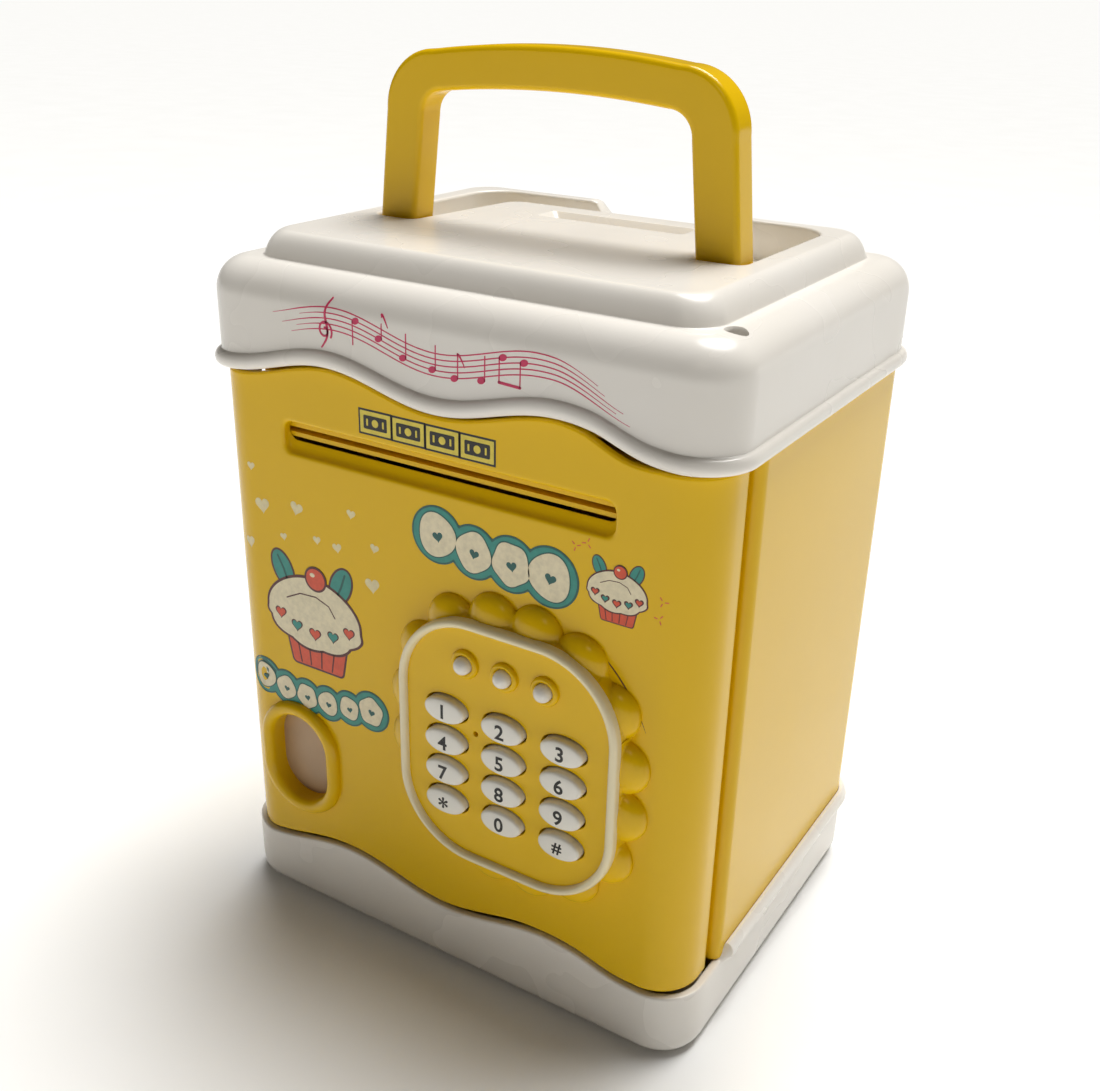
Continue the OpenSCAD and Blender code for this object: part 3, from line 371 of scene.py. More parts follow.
def make_piece(name, skin, material, body, stands_for=(), sharp=38):
    """Links a skin to the scene as one finished piece; edges sharper than the angle stay crisp."""
    mesh = mesh_of(name, skin, sharp)
    piece = bpy.data.objects.new(name, mesh)
    bpy.context.scene.collection.objects.link(piece)
    even_shading(piece)
    return dress(piece, material, body, stands_for)


def mesh_as_seen(thing):
    """The mesh of an object with its modifiers applied."""
    bpy.context.view_layer.update()
    return bpy.data.meshes.new_from_object(thing.evaluated_get(bpy.context.evaluated_depsgraph_get()))


def cut(piece, skin):
    """Takes a closed skin away from a piece for good."""
    tool = bpy.data.objects.new("cutter", mesh_of("cutter", skin))
    bpy.context.scene.collection.objects.link(tool)
    shading = piece.modifiers["even_shading"]
    shading.show_viewport = False
    m = piece.modifiers.new("cut", "BOOLEAN")
    m.operation, m.solver, m.object = "DIFFERENCE", "EXACT", tool
    made = mesh_as_seen(piece)
    piece.modifiers.remove(m)
    shading.show_viewport = True
    piece.data = made
    bpy.data.objects.remove(tool)
    finish_mesh(made)


def softened_copy(node, name, width, material, body):
    """A copy of a frame node with its loose triangles merged, flats joined and edges rounded."""
    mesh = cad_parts[node].data.copy()
    work = bmesh.new()
    work.from_mesh(mesh)
    bmesh.ops.remove_doubles(work, verts=work.verts, dist=2e-6)
    bmesh.ops.dissolve_limit(work, angle_limit=math.radians(0.6), verts=work.verts, edges=work.edges)
    work.to_mesh(mesh)
    work.free()
    mesh.shade_smooth()
    piece = bpy.data.objects.new(name, mesh)
    bpy.context.scene.collection.objects.link(piece)
    bevel = piece.modifiers.new("round_edges", "BEVEL")
    bevel.width, bevel.segments, bevel.limit_method = width * MM, 3, "ANGLE"
    bevel.angle_limit, bevel.use_clamp_overlap, bevel.harden_normals = math.radians(35), True, True
    even_shading(piece)
    return dress(piece, material, body, (node,))


# ---------------------------------------------------------------- materials

def add_node(tree, kind, inputs=(), **settings):
    """Adds a node, sets its properties, and gives each input a value or a link."""
    made = tree.nodes.new(kind)
    for key, value in settings.items():
        setattr(made, key, value)
    for key, value in dict(inputs).items():
        if isinstance(value, bpy.types.NodeSocket):
            tree.links.new(value, made.inputs[key])
        else:
            made.inputs[key].default_value = value
    return made


def start_material(name):
    """A new node material, its tree, the object's coordinates and the surface shader."""
    material = bpy.data.materials.new(name)
    material.use_nodes = True
    tree = material.node_tree
    tree.nodes.clear()
    where = add_node(tree, "ShaderNodeTexCoord").outputs["Object"]
    shader = add_node(tree, "ShaderNodeBsdfPrincipled")
    add_node(tree, "ShaderNodeOutputMaterial", {"Surface": shader.outputs["BSDF"]})
    return material, tree, where, shader


def scale_of(size_mm):
    """Pattern scale whose features are about size_mm wide, on coordinates in metres."""
    return 1000 / size_mm


def noise(tree, where, size_mm, detail):
    """Soft random pattern with features about size_mm wide."""
    inputs = {"Vector": where, "Scale": scale_of(size_mm), "Detail": detail}
    return add_node(tree, "ShaderNodeTexNoise", inputs).outputs["Fac"]


def spread(tree, pattern, low, high, start=0.0, end=1.0):
    """Carries a pattern's values from the range start to end over to the range low to high."""
    inputs = {"Value": pattern, "From Min": start, "From Max": end, "To Min": low, "To Max": high}
    return add_node(tree, "ShaderNodeMapRange", inputs).outputs["Result"]


def bump(tree, pattern, depth, strength, below=None):
    """Surface normal raised by a pattern, over the bump below it where there is one."""
    inputs = {"Height": pattern, "Distance": depth, "Strength": strength}
    if below:
        inputs["Normal"] = below
    return add_node(tree, "ShaderNodeBump", inputs).outputs["Normal"]


def two_tone(tree, shader, pattern, first, second):
    """Colours the surface between two colours, as the pattern goes from 0 to 1."""
    inputs = {"Factor": pattern, "A": (*first, 1), "B": (*second, 1)}
    mixed = add_node(tree, "ShaderNodeMix", inputs, data_type="RGBA")
    tree.links.new(mixed.outputs[2], shader.inputs["Base Color"])


def darker(colour, share):
    """The colour times a share of 1."""
    return tuple(c * share for c in colour)


def moulded(name, colour, shade=0.9, rough=(0.2, 0.28), peel_mm=3.4, grain_mm=0.5, grain=0.0,
            ior=1.53, coat=0.0, gloss=0.5, tint=None):
    """Injection-moulded plastic: a clouded colour, a polish that changes over centimetres, the faint
    orange peel of the tool's surface and, where it has one, a fine sparked grain."""
    material, tree, where, shader = start_material(name)
    tone = spread(tree, noise(tree, where, 45, 3.0), 0, 1, 0.3, 0.7)
    two_tone(tree, shader, tone, tint or darker(colour, shade), colour)
    polish = spread(tree, noise(tree, where, 26, 2.0), rough[0], rough[1], 0.3, 0.7)
    tree.links.new(polish, shader.inputs["Roughness"])
    normal = bump(tree, noise(tree, where, peel_mm, 1.0), 0.016 * MM, 0.6)
    if grain:
        normal = bump(tree, noise(tree, where, grain_mm, 2.0), grain * MM, 0.5, normal)
    tree.links.new(normal, shader.inputs["Normal"])
    shader.inputs["IOR"].default_value = ior
    shader.inputs["Specular IOR Level"].default_value = gloss
    shader.inputs["Coat Weight"].default_value = coat
    shader.inputs["Coat Roughness"].default_value = 0.08
    return material


def printed(name, colour):
    """Pad-printed ink: a thin matt-satin film, a little mottled where the pad has laid it unevenly."""
    material, tree, where, shader = start_material(name)
    mottle = noise(tree, where, 1.2, 3.0)
    two_tone(tree, shader, spread(tree, mottle, 0, 1, 0.35, 0.75), colour, darker(colour, 0.84))
    tree.links.new(spread(tree, mottle, 0.3, 0.46), shader.inputs["Roughness"])
    shader.inputs["IOR"].default_value = 1.49
    return material


def turned_steel(name, colour):
    """Zinc-plated steel: bright metal with fine tool marks and patches of duller plating."""
    material, tree, where, shader = start_material(name)
    patches = noise(tree, where, 4, 2.0)
    two_tone(tree, shader, patches, colour, darker(colour, 0.75))
    tree.links.new(spread(tree, patches, 0.24, 0.42, 0.3, 0.7), shader.inputs["Roughness"])
    marks = noise(tree, where, 0.35, 3.0)
    tree.links.new(bump(tree, marks, 0.02 * MM, 0.5), shader.inputs["Normal"])
    shader.inputs["Metallic"].default_value = 1.0
    return material


def frosted(name, colour, through, rough):
    """Cloudy moulded acrylic: light passes but nothing shows clearly through it."""
    material, tree, where, shader = start_material(name)
    cloud = noise(tree, where, 7, 4.0)
    two_tone(tree, shader, cloud, colour, darker(colour, 0.8))
    tree.links.new(spread(tree, cloud, rough, rough + 0.15), shader.inputs["Roughness"])
    shader.inputs["Transmission Weight"].default_value = through
    shader.inputs["IOR"].default_value = 1.49
    return material


def circuit(name):
    """Green solder resist over glass laminate, with the copper's tracks faintly raised under it."""
    material, tree, where, shader = start_material(name)
    inputs = {"Vector": where, "Scale": scale_of(12), "Mortar Size": 0.03}
    for socket, code in (("Color1", "#0E5A33"), ("Color2", "#0B4A2B"), ("Mortar", "#1C7A48")):
        inputs[socket] = (*linear(code), 1)
    lanes = add_node(tree, "ShaderNodeTexBrick", inputs)
    tree.links.new(lanes.outputs["Color"], shader.inputs["Base Color"])
    tree.links.new(bump(tree, lanes.outputs["Fac"], 0.04 * MM, 0.5), shader.inputs["Normal"])
    shader.inputs["Roughness"].default_value = 0.3
    shader.inputs["IOR"].default_value = 1.55
    return material


MATERIALS = {}


def material_of(key):
    """The material of that name, made when it is first asked for."""
    if key not in MATERIALS:
        c = bpy.context.scene.bank_colours
        yellow, white, key_white = tuple(c.yellow), tuple(c.white), tuple(c.key_white)
        recipes = {
            # glossy ABS, polished tool: sharp but slightly wavy highlights
            "yellow_abs": lambda: moulded("gloss_abs_yellow", yellow, 0.96, (0.17, 0.24), gloss=0.27),
            # the same resin from a satin tool: the door's inner cover, its hatch and the note guides
            "yellow_satin": lambda: moulded("satin_abs_yellow", yellow, 0.94, (0.28, 0.36), gloss=0.27,
                                            grain_mm=0.6, grain=0.01),
            # warm white ABS, satin: soft wide highlights
            "white_abs": lambda: moulded("satin_abs_white", white, rough=(0.24, 0.3),
                                         tint=linear("#EBE6DD")),
            # harder, glossier white for the keys
            "key_abs": lambda: moulded("gloss_abs_key_white", key_white, 0.96, (0.16, 0.26), coat=0.15),
            # cream ABS of the keypad's trim: glossy like the keys, warmer
            "cream_abs": lambda: moulded("gloss_abs_cream", linear("#F3E6BE"), 0.96, (0.16, 0.24),
                                         coat=0.15),
            # black moulded loudspeaker: matt with a sparked grain
            "black_abs": lambda: moulded("matt_abs_black", linear("#1A1A1C"), 0.8, (0.42, 0.6),
                                         grain_mm=0.4, grain=0.03),
            # acetal gear: waxy white
            "acetal": lambda: moulded("waxy_acetal_white", linear("#E9E7E0"), 0.96, (0.35, 0.5), ior=1.48),
            # nitrile rubber: dark, dull and slightly dusty
            "rubber": lambda: moulded("dull_nitrile_rubber", linear("#202022"), 0.7, (0.62, 0.82),
                                      grain_mm=0.3, grain=0.05, ior=1.52),
            # grey silicone mat under the keys
            "silicone": lambda: moulded("matt_silicone_grey", linear("#B9B8B2"), 0.9, (0.5, 0.65),
                                        ior=1.41),
            # lacquered steel can of a cell with its printed sleeve
            "cell": lambda: moulded("printed_cell_sleeve", linear("#2C5E4C"), 0.7, (0.25, 0.36),
                                    peel_mm=6),
            "steel": lambda: turned_steel("zinc_plated_steel", linear("#B9BBBF")),
            "circuit": lambda: circuit("solder_resist_board"),
            "lamp": lambda: frosted("frosted_acrylic_lamp", linear("#FFFCF4"), 0.04, 0.14),
            "window": lambda: frosted("cloudy_acrylic_window", linear("#DDBB93"), 0.3, 0.3),
            "ink_teal": lambda: printed("pad_print_teal", tuple(c.teal)),
            "ink_deep": lambda: printed("pad_print_deep_teal", linear("#175E58")),
            "ink_cream": lambda: printed("pad_print_cream", tuple(c.cream)),
            "ink_brown": lambda: printed("pad_print_brown", tuple(c.brown)),
            "ink_orange": lambda: printed("pad_print_orange", tuple(c.orange)),
            "ink_pink": lambda: printed("pad_print_pink", tuple(c.pink)),
            "ink_black": lambda: printed("pad_print_black", linear("#17140F")),
            "ink_pale": lambda: printed("pad_print_pale_hearts", linear("#EEDFAE")),
            "ink_label": lambda: printed("pad_print_label_yellow", linear("#E9D44C")),
        }
        MATERIALS[key] = recipes[key]()
    return MATERIALS[key]


# ---------------------------------------------------------------- cover and base

def round_post(skin, x, y, z0, z1, r, edge=0.4):
    """Upright round post with a rounded rim at both ends: a circle carried through five heights."""
    disc = circle(40)
    steps = ((r - edge, z0), (r - edge * 0.3, z0 + edge * 0.3), (r, z0 + edge), (r, z1 - edge),
             (r - edge * 0.3, z1 - edge * 0.3), (r - edge, z1))
    skin.solid([lift(disc * q + (x, y), z) for q, z in steps])


def notch(points):
    """Lowers the rear rim by 4 mm across 24 mm, for a fingertip, with soft shoulders."""
    points = np.array(points, float)
    x, y, z = points[..., 0], points[..., 1], points[..., 2]
    inside = smooth((16 - np.abs(x)) / 4) * smooth((y - HANDLE_BACK + 1.0) / 1.5)
    points[..., 2] = z - 4 * inside * np.clip((z - 163.7) / 5.3, 0, 1)
    return points


def trough_outline():
    """Plan of the recess for the folded handle: a U around an island, with wide rear corners."""
    a, back, front = HANDLE_A + 0.7, HANDLE_BACK + 1.0, -11.7
    inner, island = HANDLE_A - 10.7, HANDLE_BACK - 10.9
    return soft_outline([(-a, front, 2.4), (-inner, front, 2.0), (3.2 - inner, island, 4.8),
                         (inner - 3.2, island, 4.8), (inner, front, 2.0), (a, front, 2.4), (a, back, 9.0),
                         (-a, back, 9.0)], 1.6)


class BANK_OT_cover(bpy.types.Operator):
    """Builds the white cover: a wavy beaded skirt, a soft shoulder and the platform with its recesses"""
    bl_idname = "coin_bank.cover"
    bl_label = "Cover"

    def execute(self, context):
        sizes = context.scene.bank_sizes
        bead, q, soft = sizes.cover_bead / MM, sizes.cover_round / MM, sizes.platform_round / MM
        skin = Skin()

        def ring(o, z, from_edge):
            """The cover's outline moved out by o, at height z or at z above its wavy edge."""
            path = rounded_rect(OUT_W + o, OUT_D + o, OUT_R + o)
            low = np.where(path[:, 1] < 0, cover_edge(path[:, 0]), COVER_Z)
            return lift(path, low + z if from_edge else z)

        swell = np.radians(np.linspace(-84, 84, 13))
        shoulder = np.radians(np.linspace(0, 90, 13))
        # height of the cover's inner ceiling
        inside = 150
        rings = [ring(-2.2, inside, False), ring(-2.2, 0.6, True), ring(-2.05, 0.2, True),
                 ring(-1.7, 0, True), ring(-0.3, 0, True)]
        rings += [ring(1.6 * math.cos(a) ** 0.85, bead / 2 * (1 + math.sin(a)), True) for a in swell]
        rings += [ring(0.05, bead + 0.15, True), ring(0, bead + 0.5, True), ring(0, inside, False)]
        rings += [ring(-(q - 0.1) * (1 - math.cos(a)), LEDGE_Z - q + q * math.sin(a), False)
                  for a in shoulder]
        rings += [lift(rounded_rect(PLAT_A + 0.2, PLAT_B + 0.1, PLAT_R), LEDGE_Z),
                  lift(rounded_rect(PLAT_A, PLAT_B - 0.1, PLAT_R), LEDGE_Z + 0.12)]
        first = math.radians(32)
        for a in np.linspace(first, np.pi / 2, 11):
            i = soft * (math.cos(first) - math.cos(a)) / math.cos(first)
            climb = (math.sin(a) - math.sin(first)) / (1 - math.sin(first))
            z = LEDGE_Z + 0.3 + (PLAT_Z - LEDGE_Z - 0.3) * climb
            rings.append(lift(rounded_rect(PLAT_A - 0.1 - i, PLAT_B - 0.2 - i, PLAT_R - 0.4 * i), z))
        rings = [notch(r) for r in rings]
        skin.rings(rings)
        top = rounded_rect(PLAT_A - 0.1 - soft, PLAT_B - 0.2 - soft, PLAT_R - 0.4 * soft)
        u = trough_outline()
        drop = ((-0.8, 0.0), (-0.5, 0.06), (-0.2, 0.28), (0, 0.75), (0, 4.5), (0, 7.9), (0.3, 8.6),
                (1.1, 9.0))
        skin.rings([notch(lift(shrink(u, d), PLAT_Z - z)) for d, z in drop])
        centre = ((CHUTE_LOW + CHUTE_HIGH) / 2)[:2]
        mouth = ((19.4, 4.3, 1.4, 0), (19.1, 4.0, 1.3, 0.12), (17.5, 2.8, 0.8, 1.5), (17.1, 2.55, 0.6, 1.8),
                 (17, 2.5, 0.5, 2.2), (19.5, 4.0, 0.4, 2.25), (19.5, 4.0, 0.4, PLAT_Z - inside))
        slit = [rounded_rect(a, b, r, 30, 6, 5) + centre for a, b, r, _ in mouth]
        skin.rings([lift(p, PLAT_Z - m[3]) for p, m in zip(slit, mouth)])
        skin.fill([top, shrink(u, -0.8), slit[0]], lambda p: notch(lift(p, PLAT_Z)))
        skin.fill([shrink(u, 1.1)], lambda p: lift(p, PLAT_Z - 9.0))
        skin.fill([rings[0][:, :2], slit[-1]], lambda p: lift(p, inside))
        cover = make_piece("cover", skin, material_of("white_abs"), "case", ("top_cover",))
        # shallow sunk hole over the hinge pin
        hole = Skin()
        hole.solid([lift(circle(40) * r + (HINGE_X, HINGE_Y), z) for r, z in
                    ((2.1, 158.6), (2.1, 162.6), (2.2, 163.05), (2.5, 163.5), (2.5, 165.2))])
        cut(cover, hole)
        boss = Skin()
        round_post(boss, HINGE_X, HINGE_Y, COVER_Z, inside + 1, 4.0)
        make_piece("cover_hinge_boss", boss, material_of("white_abs"), "case")
        return {"FINISHED"}


class BANK_OT_base(bpy.types.Operator):
    """Builds the white base tray: a rounded foot, a wavy front lip and a bead round the sides and back"""
    bl_idname = "coin_bank.base"
    bl_label = "Base"

    def execute(self, context):
        skin = Skin()

        def ring(front, side):
            """A ring whose offset and height blend from the front's profile to the side's behind the door."""
            plan = rounded_rect(OUT_W, OUT_D, OUT_R, 72, 66, 10)
            w = smooth((plan[:, 1] + 31.6) / 1.3)[:, None]
            a, b = (rounded_rect(OUT_W + p[0], OUT_D + p[0], OUT_R + p[0], 72, 66, 10) for p in (front, side))
            top = np.where(plan[:, 1] < 0, base_edge(plan[:, 0]), BASE_H - 0.4)
            za, zb = top + front[1] if front[2] else np.full(len(plan), front[1]), side[1]
            return np.column_stack([a * (1 - w) + b * w, za * (1 - w[:, 0]) + zb * w[:, 0]])

        foot = np.radians(np.linspace(0, 90, 10))
        low_part = [(4 * math.sin(a) - 4, 4 - 4 * math.cos(a)) for a in foot] + [(0, 10)]
        rings = [ring((o, z, False), (o, z)) for o, z in low_part]
        front = [(0, 14.8, False), (0, 15.6, False), (0, -0.6, True), (-0.05, -0.37, True),
                 (-0.18, -0.18, True), (-0.37, -0.05, True), (-0.6, 0, True), (-1.1, 0, True),
                 (-1.6, 0, True), (-1.95, -0.12, True), (-2.15, -0.35, True), (-2.2, -0.7, True),
                 (-2.2, 12, False)]
        swell = np.radians(np.linspace(-80, 80, 7))
        side = [(0, 14.8), (0, 15.9)] + [(1.6 * math.cos(a), 18.15 + 2.25 * math.sin(a)) for a in swell]
        side += [(-0.5, 20.15), (-0.5, 17.4), (-2.2, 17.4), (-2.2, 12)]
        rings += [ring(f, s) for f, s in zip(front, side)]
        rings += [ring((o, z, False), (o, z)) for o, z in ((-2.2, 3.4), (-2.5, 2.7), (-3.2, 2.5))]
        skin.rings(rings)
        # wells for the four screws in the underside
        disc = circle(32)
        low, high = box_mm("base_screws")
        places = [(x, y) for x in (low[0] + 2.4, high[0] - 2.4) for y in (low[1] + 2.4, high[1] - 2.4)]
        wells = ((3.0, 0), (2.75, 0.25), (2.7, 1.7))
        for p in places:
            skin.rings([lift(disc * r + p, z) for r, z in wells])
            skin.fill([disc * 2.7 + p], lambda q: lift(q, 1.7))
        skin.fill([rings[0][:, :2]] + [disc * 3.0 + p for p in places], lambda q: lift(q, 0))
        skin.fill([rings[-1][:, :2]], lambda q: lift(q, 2.5))
        base = make_piece("base", skin, material_of("white_abs"), "case", ("base_tray",))
        # small window in the side wall, beside the lower hinge pin
        window = Skin()
        opening = rounded_rect(3.2, 1.2, 0.5, 8, 4, 4) + (HINGE_Y, 13.4)
        window.solid([np.column_stack([np.full(len(opening), x), opening]) for x in (58.6, 64.0)])
        cut(base, window)
        boss = Skin()
        round_post(boss, HINGE_X, HINGE_Y, 2.4, BASE_H - 0.4, 4.0)
        make_piece("base_hinge_boss", boss, material_of("white_abs"), "case")
        return {"FINISHED"}


class BANK_OT_body(bpy.types.Operator):
    """Rounds the edges of the body shell, the bolt strip and the coin chute"""
    bl_idname = "coin_bank.body"
    bl_label = "Body"

    def execute(self, context):
        softened_copy("body_shell", "body", 0.35, material_of("yellow_abs"), "case")
        softened_copy("latch_keeper", "bolt_strip", 0.5, material_of("yellow_abs"), "case")
        softened_copy("coin_chute", "chute", 0.25, material_of("white_abs"), "case")
        return {"FINISHED"}


# ---------------------------------------------------------------- handle

class BANK_OT_handle(bpy.types.Operator):
    """Builds the yellow carrying handle: a soft-edged bar carried along a leg, a bend, the grip and back"""
    bl_idname = "coin_bank.handle"
    bl_label = "Handle"

    def execute(self, context):
        edge = context.scene.bank_sizes.handle_edge / MM
        foot, top, leg = float(HANDLE_LOW[2]) + 4, float(HANDLE_HIGH[2]), float(HANDLE_HIGH[0])
        half = float(HANDLE_HIGH[1] - HANDLE_LOW[1]) / 2
        bend = np.radians(np.linspace(180, 90, 25))

        def side(reach, corner_x, corner_z, r, crown):
            """Half outline: straight up from the foot to the bend's arc, then a cubic rise to the crown."""
            arc = np.stack([-corner_x + r * np.cos(bend), corner_z + r * np.sin(bend)], 1)
            t = np.linspace(0, 1, 18, endpoint=False)[:, None]
            straight = np.array([-reach, foot]) * (1 - t) + arc[0] * t
            u = np.linspace(0, 1, 17)[1:]
            grip = np.stack([arc[-1, 0] * (1 - u), arc[-1, 1] + (crown - arc[-1, 1]) * u * (2 - u)], 1)
            left = np.concatenate([straight, arc, grip])
            return np.concatenate([left, (left[:-1] * (-1, 1))[::-1]])

        outer = side(leg, leg - 16, top - 15, 13, top)
        inner = side(leg - 10, leg - 18.5, top - 16, 5.5, top - 9)
        # cross section: a rounded rectangle, from -1 to 1 across and along the thickness
        width = np.linalg.norm(outer - inner, axis=1)
        rings = []
        section = rounded_rect(5, half, edge, 4, 4, 7)
        for o, i, w in zip(outer, inner, width):
            mid, across = (o + i) / 2, (o - i) / w
            k = np.clip(np.abs(section[:, 0]) + w / 2 - 5, 0, w / 2) * np.sign(section[:, 0])
            rings.append(np.column_stack([mid[0] + across[0] * k, PIVOT_Y + section[:, 1],
                                          mid[1] + across[1] * k]))
        skin = Skin()
        # round feet about the pivots, then the bar
        turn = np.radians(np.linspace(88, 8, 10))

        def heel(ring):
            """Half a turn of the section about the pivot line: it shrinks as it goes down."""
            out = []
            for a in turn:
                r = np.array(ring)
                r[:, 1] = PIVOT_Y + (r[:, 1] - PIVOT_Y) * math.sin(a)
                r[:, 2] = foot - half * math.cos(a)
                out.append(r)
            return out[::-1]

        skin.solid(np.array(heel(rings[0]) + rings + heel(rings[-1])[::-1]))
        make_piece("carry_handle", skin, material_of("yellow_abs"), "handle", ("handle",), 50)
        return {"FINISHED"}


# ---------------------------------------------------------------- door

class BANK_OT_door(bpy.types.Operator):
    """Builds the door skin with its wavy edges, the note slot, the window's opening and the hinge barrel"""
    bl_idname = "coin_bank.door"
    bl_label = "Door"

    def execute(self, context):
        e = context.scene.bank_sizes.door_edge / MM
        flat, quarter = DOOR_HW - DOOR_R, DOOR_R * np.pi / 2
        f0, f1 = (float(arc_length(FINGER_X + a)) for a in (-WINDOW_A, WINDOW_A))
        scoop, margin = 2.4, 1.2
        left, right = SLOT_L - margin, SLOT_R + margin
        low, high = SLOT_B - scoop - margin, SLOT_T + margin
        cols = np.unique(np.round(np.concatenate([
            np.linspace(-flat - quarter - 3.6, -flat - quarter, 4), np.linspace(-flat - quarter, -flat, 17),
            np.linspace(-flat, flat, 66), np.linspace(flat, flat + quarter, 17),
            np.linspace(flat + quarter, flat + quarter + 2.5, 3), [left, right, f0, f1]]), 4))
        x = wrap(cols, 0)[0]
        foot, top = door_foot(x), door_top(x)
        side_z = [FINGER_Z - WINDOW_B, FINGER_Z, FINGER_Z + WINDOW_B]
        heights = [26] + side_z + [75, 100, low, high, 134]
        bend = np.radians(np.linspace(0, 90, 5))
        rows = [(foot + e - e * math.sin(a), e - e * math.cos(a), cols) for a in bend[::-1]]
        first = len(rows)
        rows += [(np.full(len(cols), float(h)), 0.0, cols) for h in heights]
        rows += [(top - e + e * math.sin(a), e - e * math.cos(a), cols) for a in bend]
        rows += [(top - e + e * math.sin(a), DOOR_T - e + e * math.cos(a), cols) for a in bend[::-1]]
        back = len(rows)
        rows += [(np.full(len(cols), float(h)), DOOR_T, cols) for h in heights[::-1]]
        rows += [(foot + e - e * math.sin(a), DOOR_T - e + e * math.cos(a), cols) for a in bend]
        grid = np.array([np.column_stack([*wrap(c, d), z]) for z, d, c in rows])
        mid = (cols[:-1] + cols[1:]) / 2
        in_slot = (mid > left) & (mid < right)
        in_window = (mid > f0) & (mid < f1)
        keep = np.ones((len(rows), len(cols) - 1), bool)
        n = len(heights)
        keep[first + n - 3][in_slot] = False
        keep[back + 1][in_slot] = False
        for k in (1, 2):
            keep[first + k][in_window] = False
            keep[back + n - 2 - k][in_window] = False
        skin = Skin()
        skin.rings(grid, loop=False, close=True, keep=keep)

        def end_cap(column):
            """Closes the section's end with strips between its outer and inner rows."""
            ring = grid[:, column]
            half = first + n + len(bend)
            outer, inner = ring[:half], ring[half:][::-1]
            skin.rings([outer, inner], loop=False)

        end_cap(0)
        end_cap(-1)
        # slot mouth: a soft rim, then the lower lip climbs in a hollow curve to the slit
        run = cols[(cols >= left) & (cols <= right)]
        patch = np.concatenate([np.stack([run, np.full(len(run), low)], 1),
                                np.stack([run, np.full(len(run), high)], 1)[::-1]])

        def mouth(grow, climb):
            """The slot's outline, grown all round and with its lower lip raised by climb."""
            z0, z1 = SLOT_B - scoop - grow + climb, SLOT_T + grow
            path = rounded_rect((SLOT_R - SLOT_L) / 2 + grow, (z1 - z0) / 2, 2.35, 60, 4, 7)
            return path + ((SLOT_L + SLOT_R) / 2, (z0 + z1) / 2)

        steps = ((0.95, 0, 0), (0.6, 0, 0.04), (0.3, 0, 0.16), (0.1, 0, 0.36), (0, 0, 0.6), (0, 0.3, 1.05),
                 (0, 0.8, 1.45), (0, 1.6, 1.8), (0, 2.2, 2.0), (0, scoop, DOOR_T))
        skin.rings([stand(mouth(g, c), FACE_Y + d) for g, c, d in steps])
        skin.fill([patch, mouth(0.95, 0)], lambda p: stand(p, FACE_Y))
        skin.fill([patch, mouth(0, scoop)], lambda p: stand(p, FACE_Y + DOOR_T))
        # window opening behind the rim
        run = cols[(cols >= f0 - 1e-6) & (cols <= f1 + 1e-6)]
        s = np.concatenate([run, [run[-1]], run[::-1], [run[0]]])
        z = np.concatenate([np.full(len(run), side_z[0]), side_z[1:2],
                            np.full(len(run), side_z[2]), side_z[1:2]])
        skin.rings([np.column_stack([*wrap(s, d), z]) for d in (0.0, DOOR_T)])
        make_piece("door_skin", skin, material_of("yellow_abs"), "door", ("door_panel",))
        barrel = Skin()
        round_post(barrel, HINGE_X, HINGE_Y, float(door_foot(np.array([HINGE_X]))[0]),
                   float(door_top(np.array([HINGE_X]))[0]), BARREL_R, 0.5)
        make_piece("hinge_barrel", barrel, material_of("yellow_abs"), "door")
        return {"FINISHED"}


class BANK_OT_finger_window(bpy.types.Operator):
    """Builds the round-edged rim of the finger window and its cloudy lens"""
    bl_idname = "coin_bank.finger_window"
    bl_label = "Finger window"

    def execute(self, context):
        skin = Skin()
        swell = np.linspace(0, np.pi, 17)
        steps = [(0.0, 4.6), (0.0, 0.6)]
        steps += [(1.8 - 1.8 * math.cos(a), 0.1 - 2.1 * math.sin(a) ** 0.8) for a in swell]
        steps += [(3.6, 0.8), (3.6, 4.6)]
        rings = [stand(stadium(8.5 + o, 12 + o) + (FINGER_X, FINGER_Z), FACE_Y + d) for o, d in steps]
        skin.rings(rings, close=True)
        make_piece("finger_rim", skin, material_of("yellow_abs"), "door")
        lens = Skin()
        front, back = float(LENS_LOW[1]), float(LENS_HIGH[1])
        shape = stadium(9.8, 13.3)
        bulge = [(q, front + 0.5 * q ** 2) for q in (0.02, 0.2, 0.4, 0.6, 0.8, 0.92)]
        bulge += [(1.0, front + 0.75), (1.0, back), (0.02, back)]
        lens.solid([stand(shape * q + (FINGER_X, FINGER_Z), y) for q, y in bulge])
        make_piece("window_lens", lens, material_of("window"), "door", ("finger_lens",))
        return {"FINISHED"}


# ---------------------------------------------------------------- keypad

def lobe_centres():
    """Points at even angles round a soft square of half sizes LOBE_A and LOBE_B."""
    a = 2 * np.pi * (np.arange(LOBES) + 0.5) / LOBES
    q = (np.abs(np.cos(a)) ** 2.6 + np.abs(np.sin(a)) ** 2.6) ** (-1 / 2.6)
    return np.stack([LOBE_A * q * np.cos(a), LOBE_B * q * np.sin(a)], 1)


def key_place(name):
    """Middle of a key in X and Z, and the depth of its front."""
    low, high = box_mm(name)
    return float(low[0] + high[0]) / 2, float(low[2] + high[2]) / 2, float(low[1])


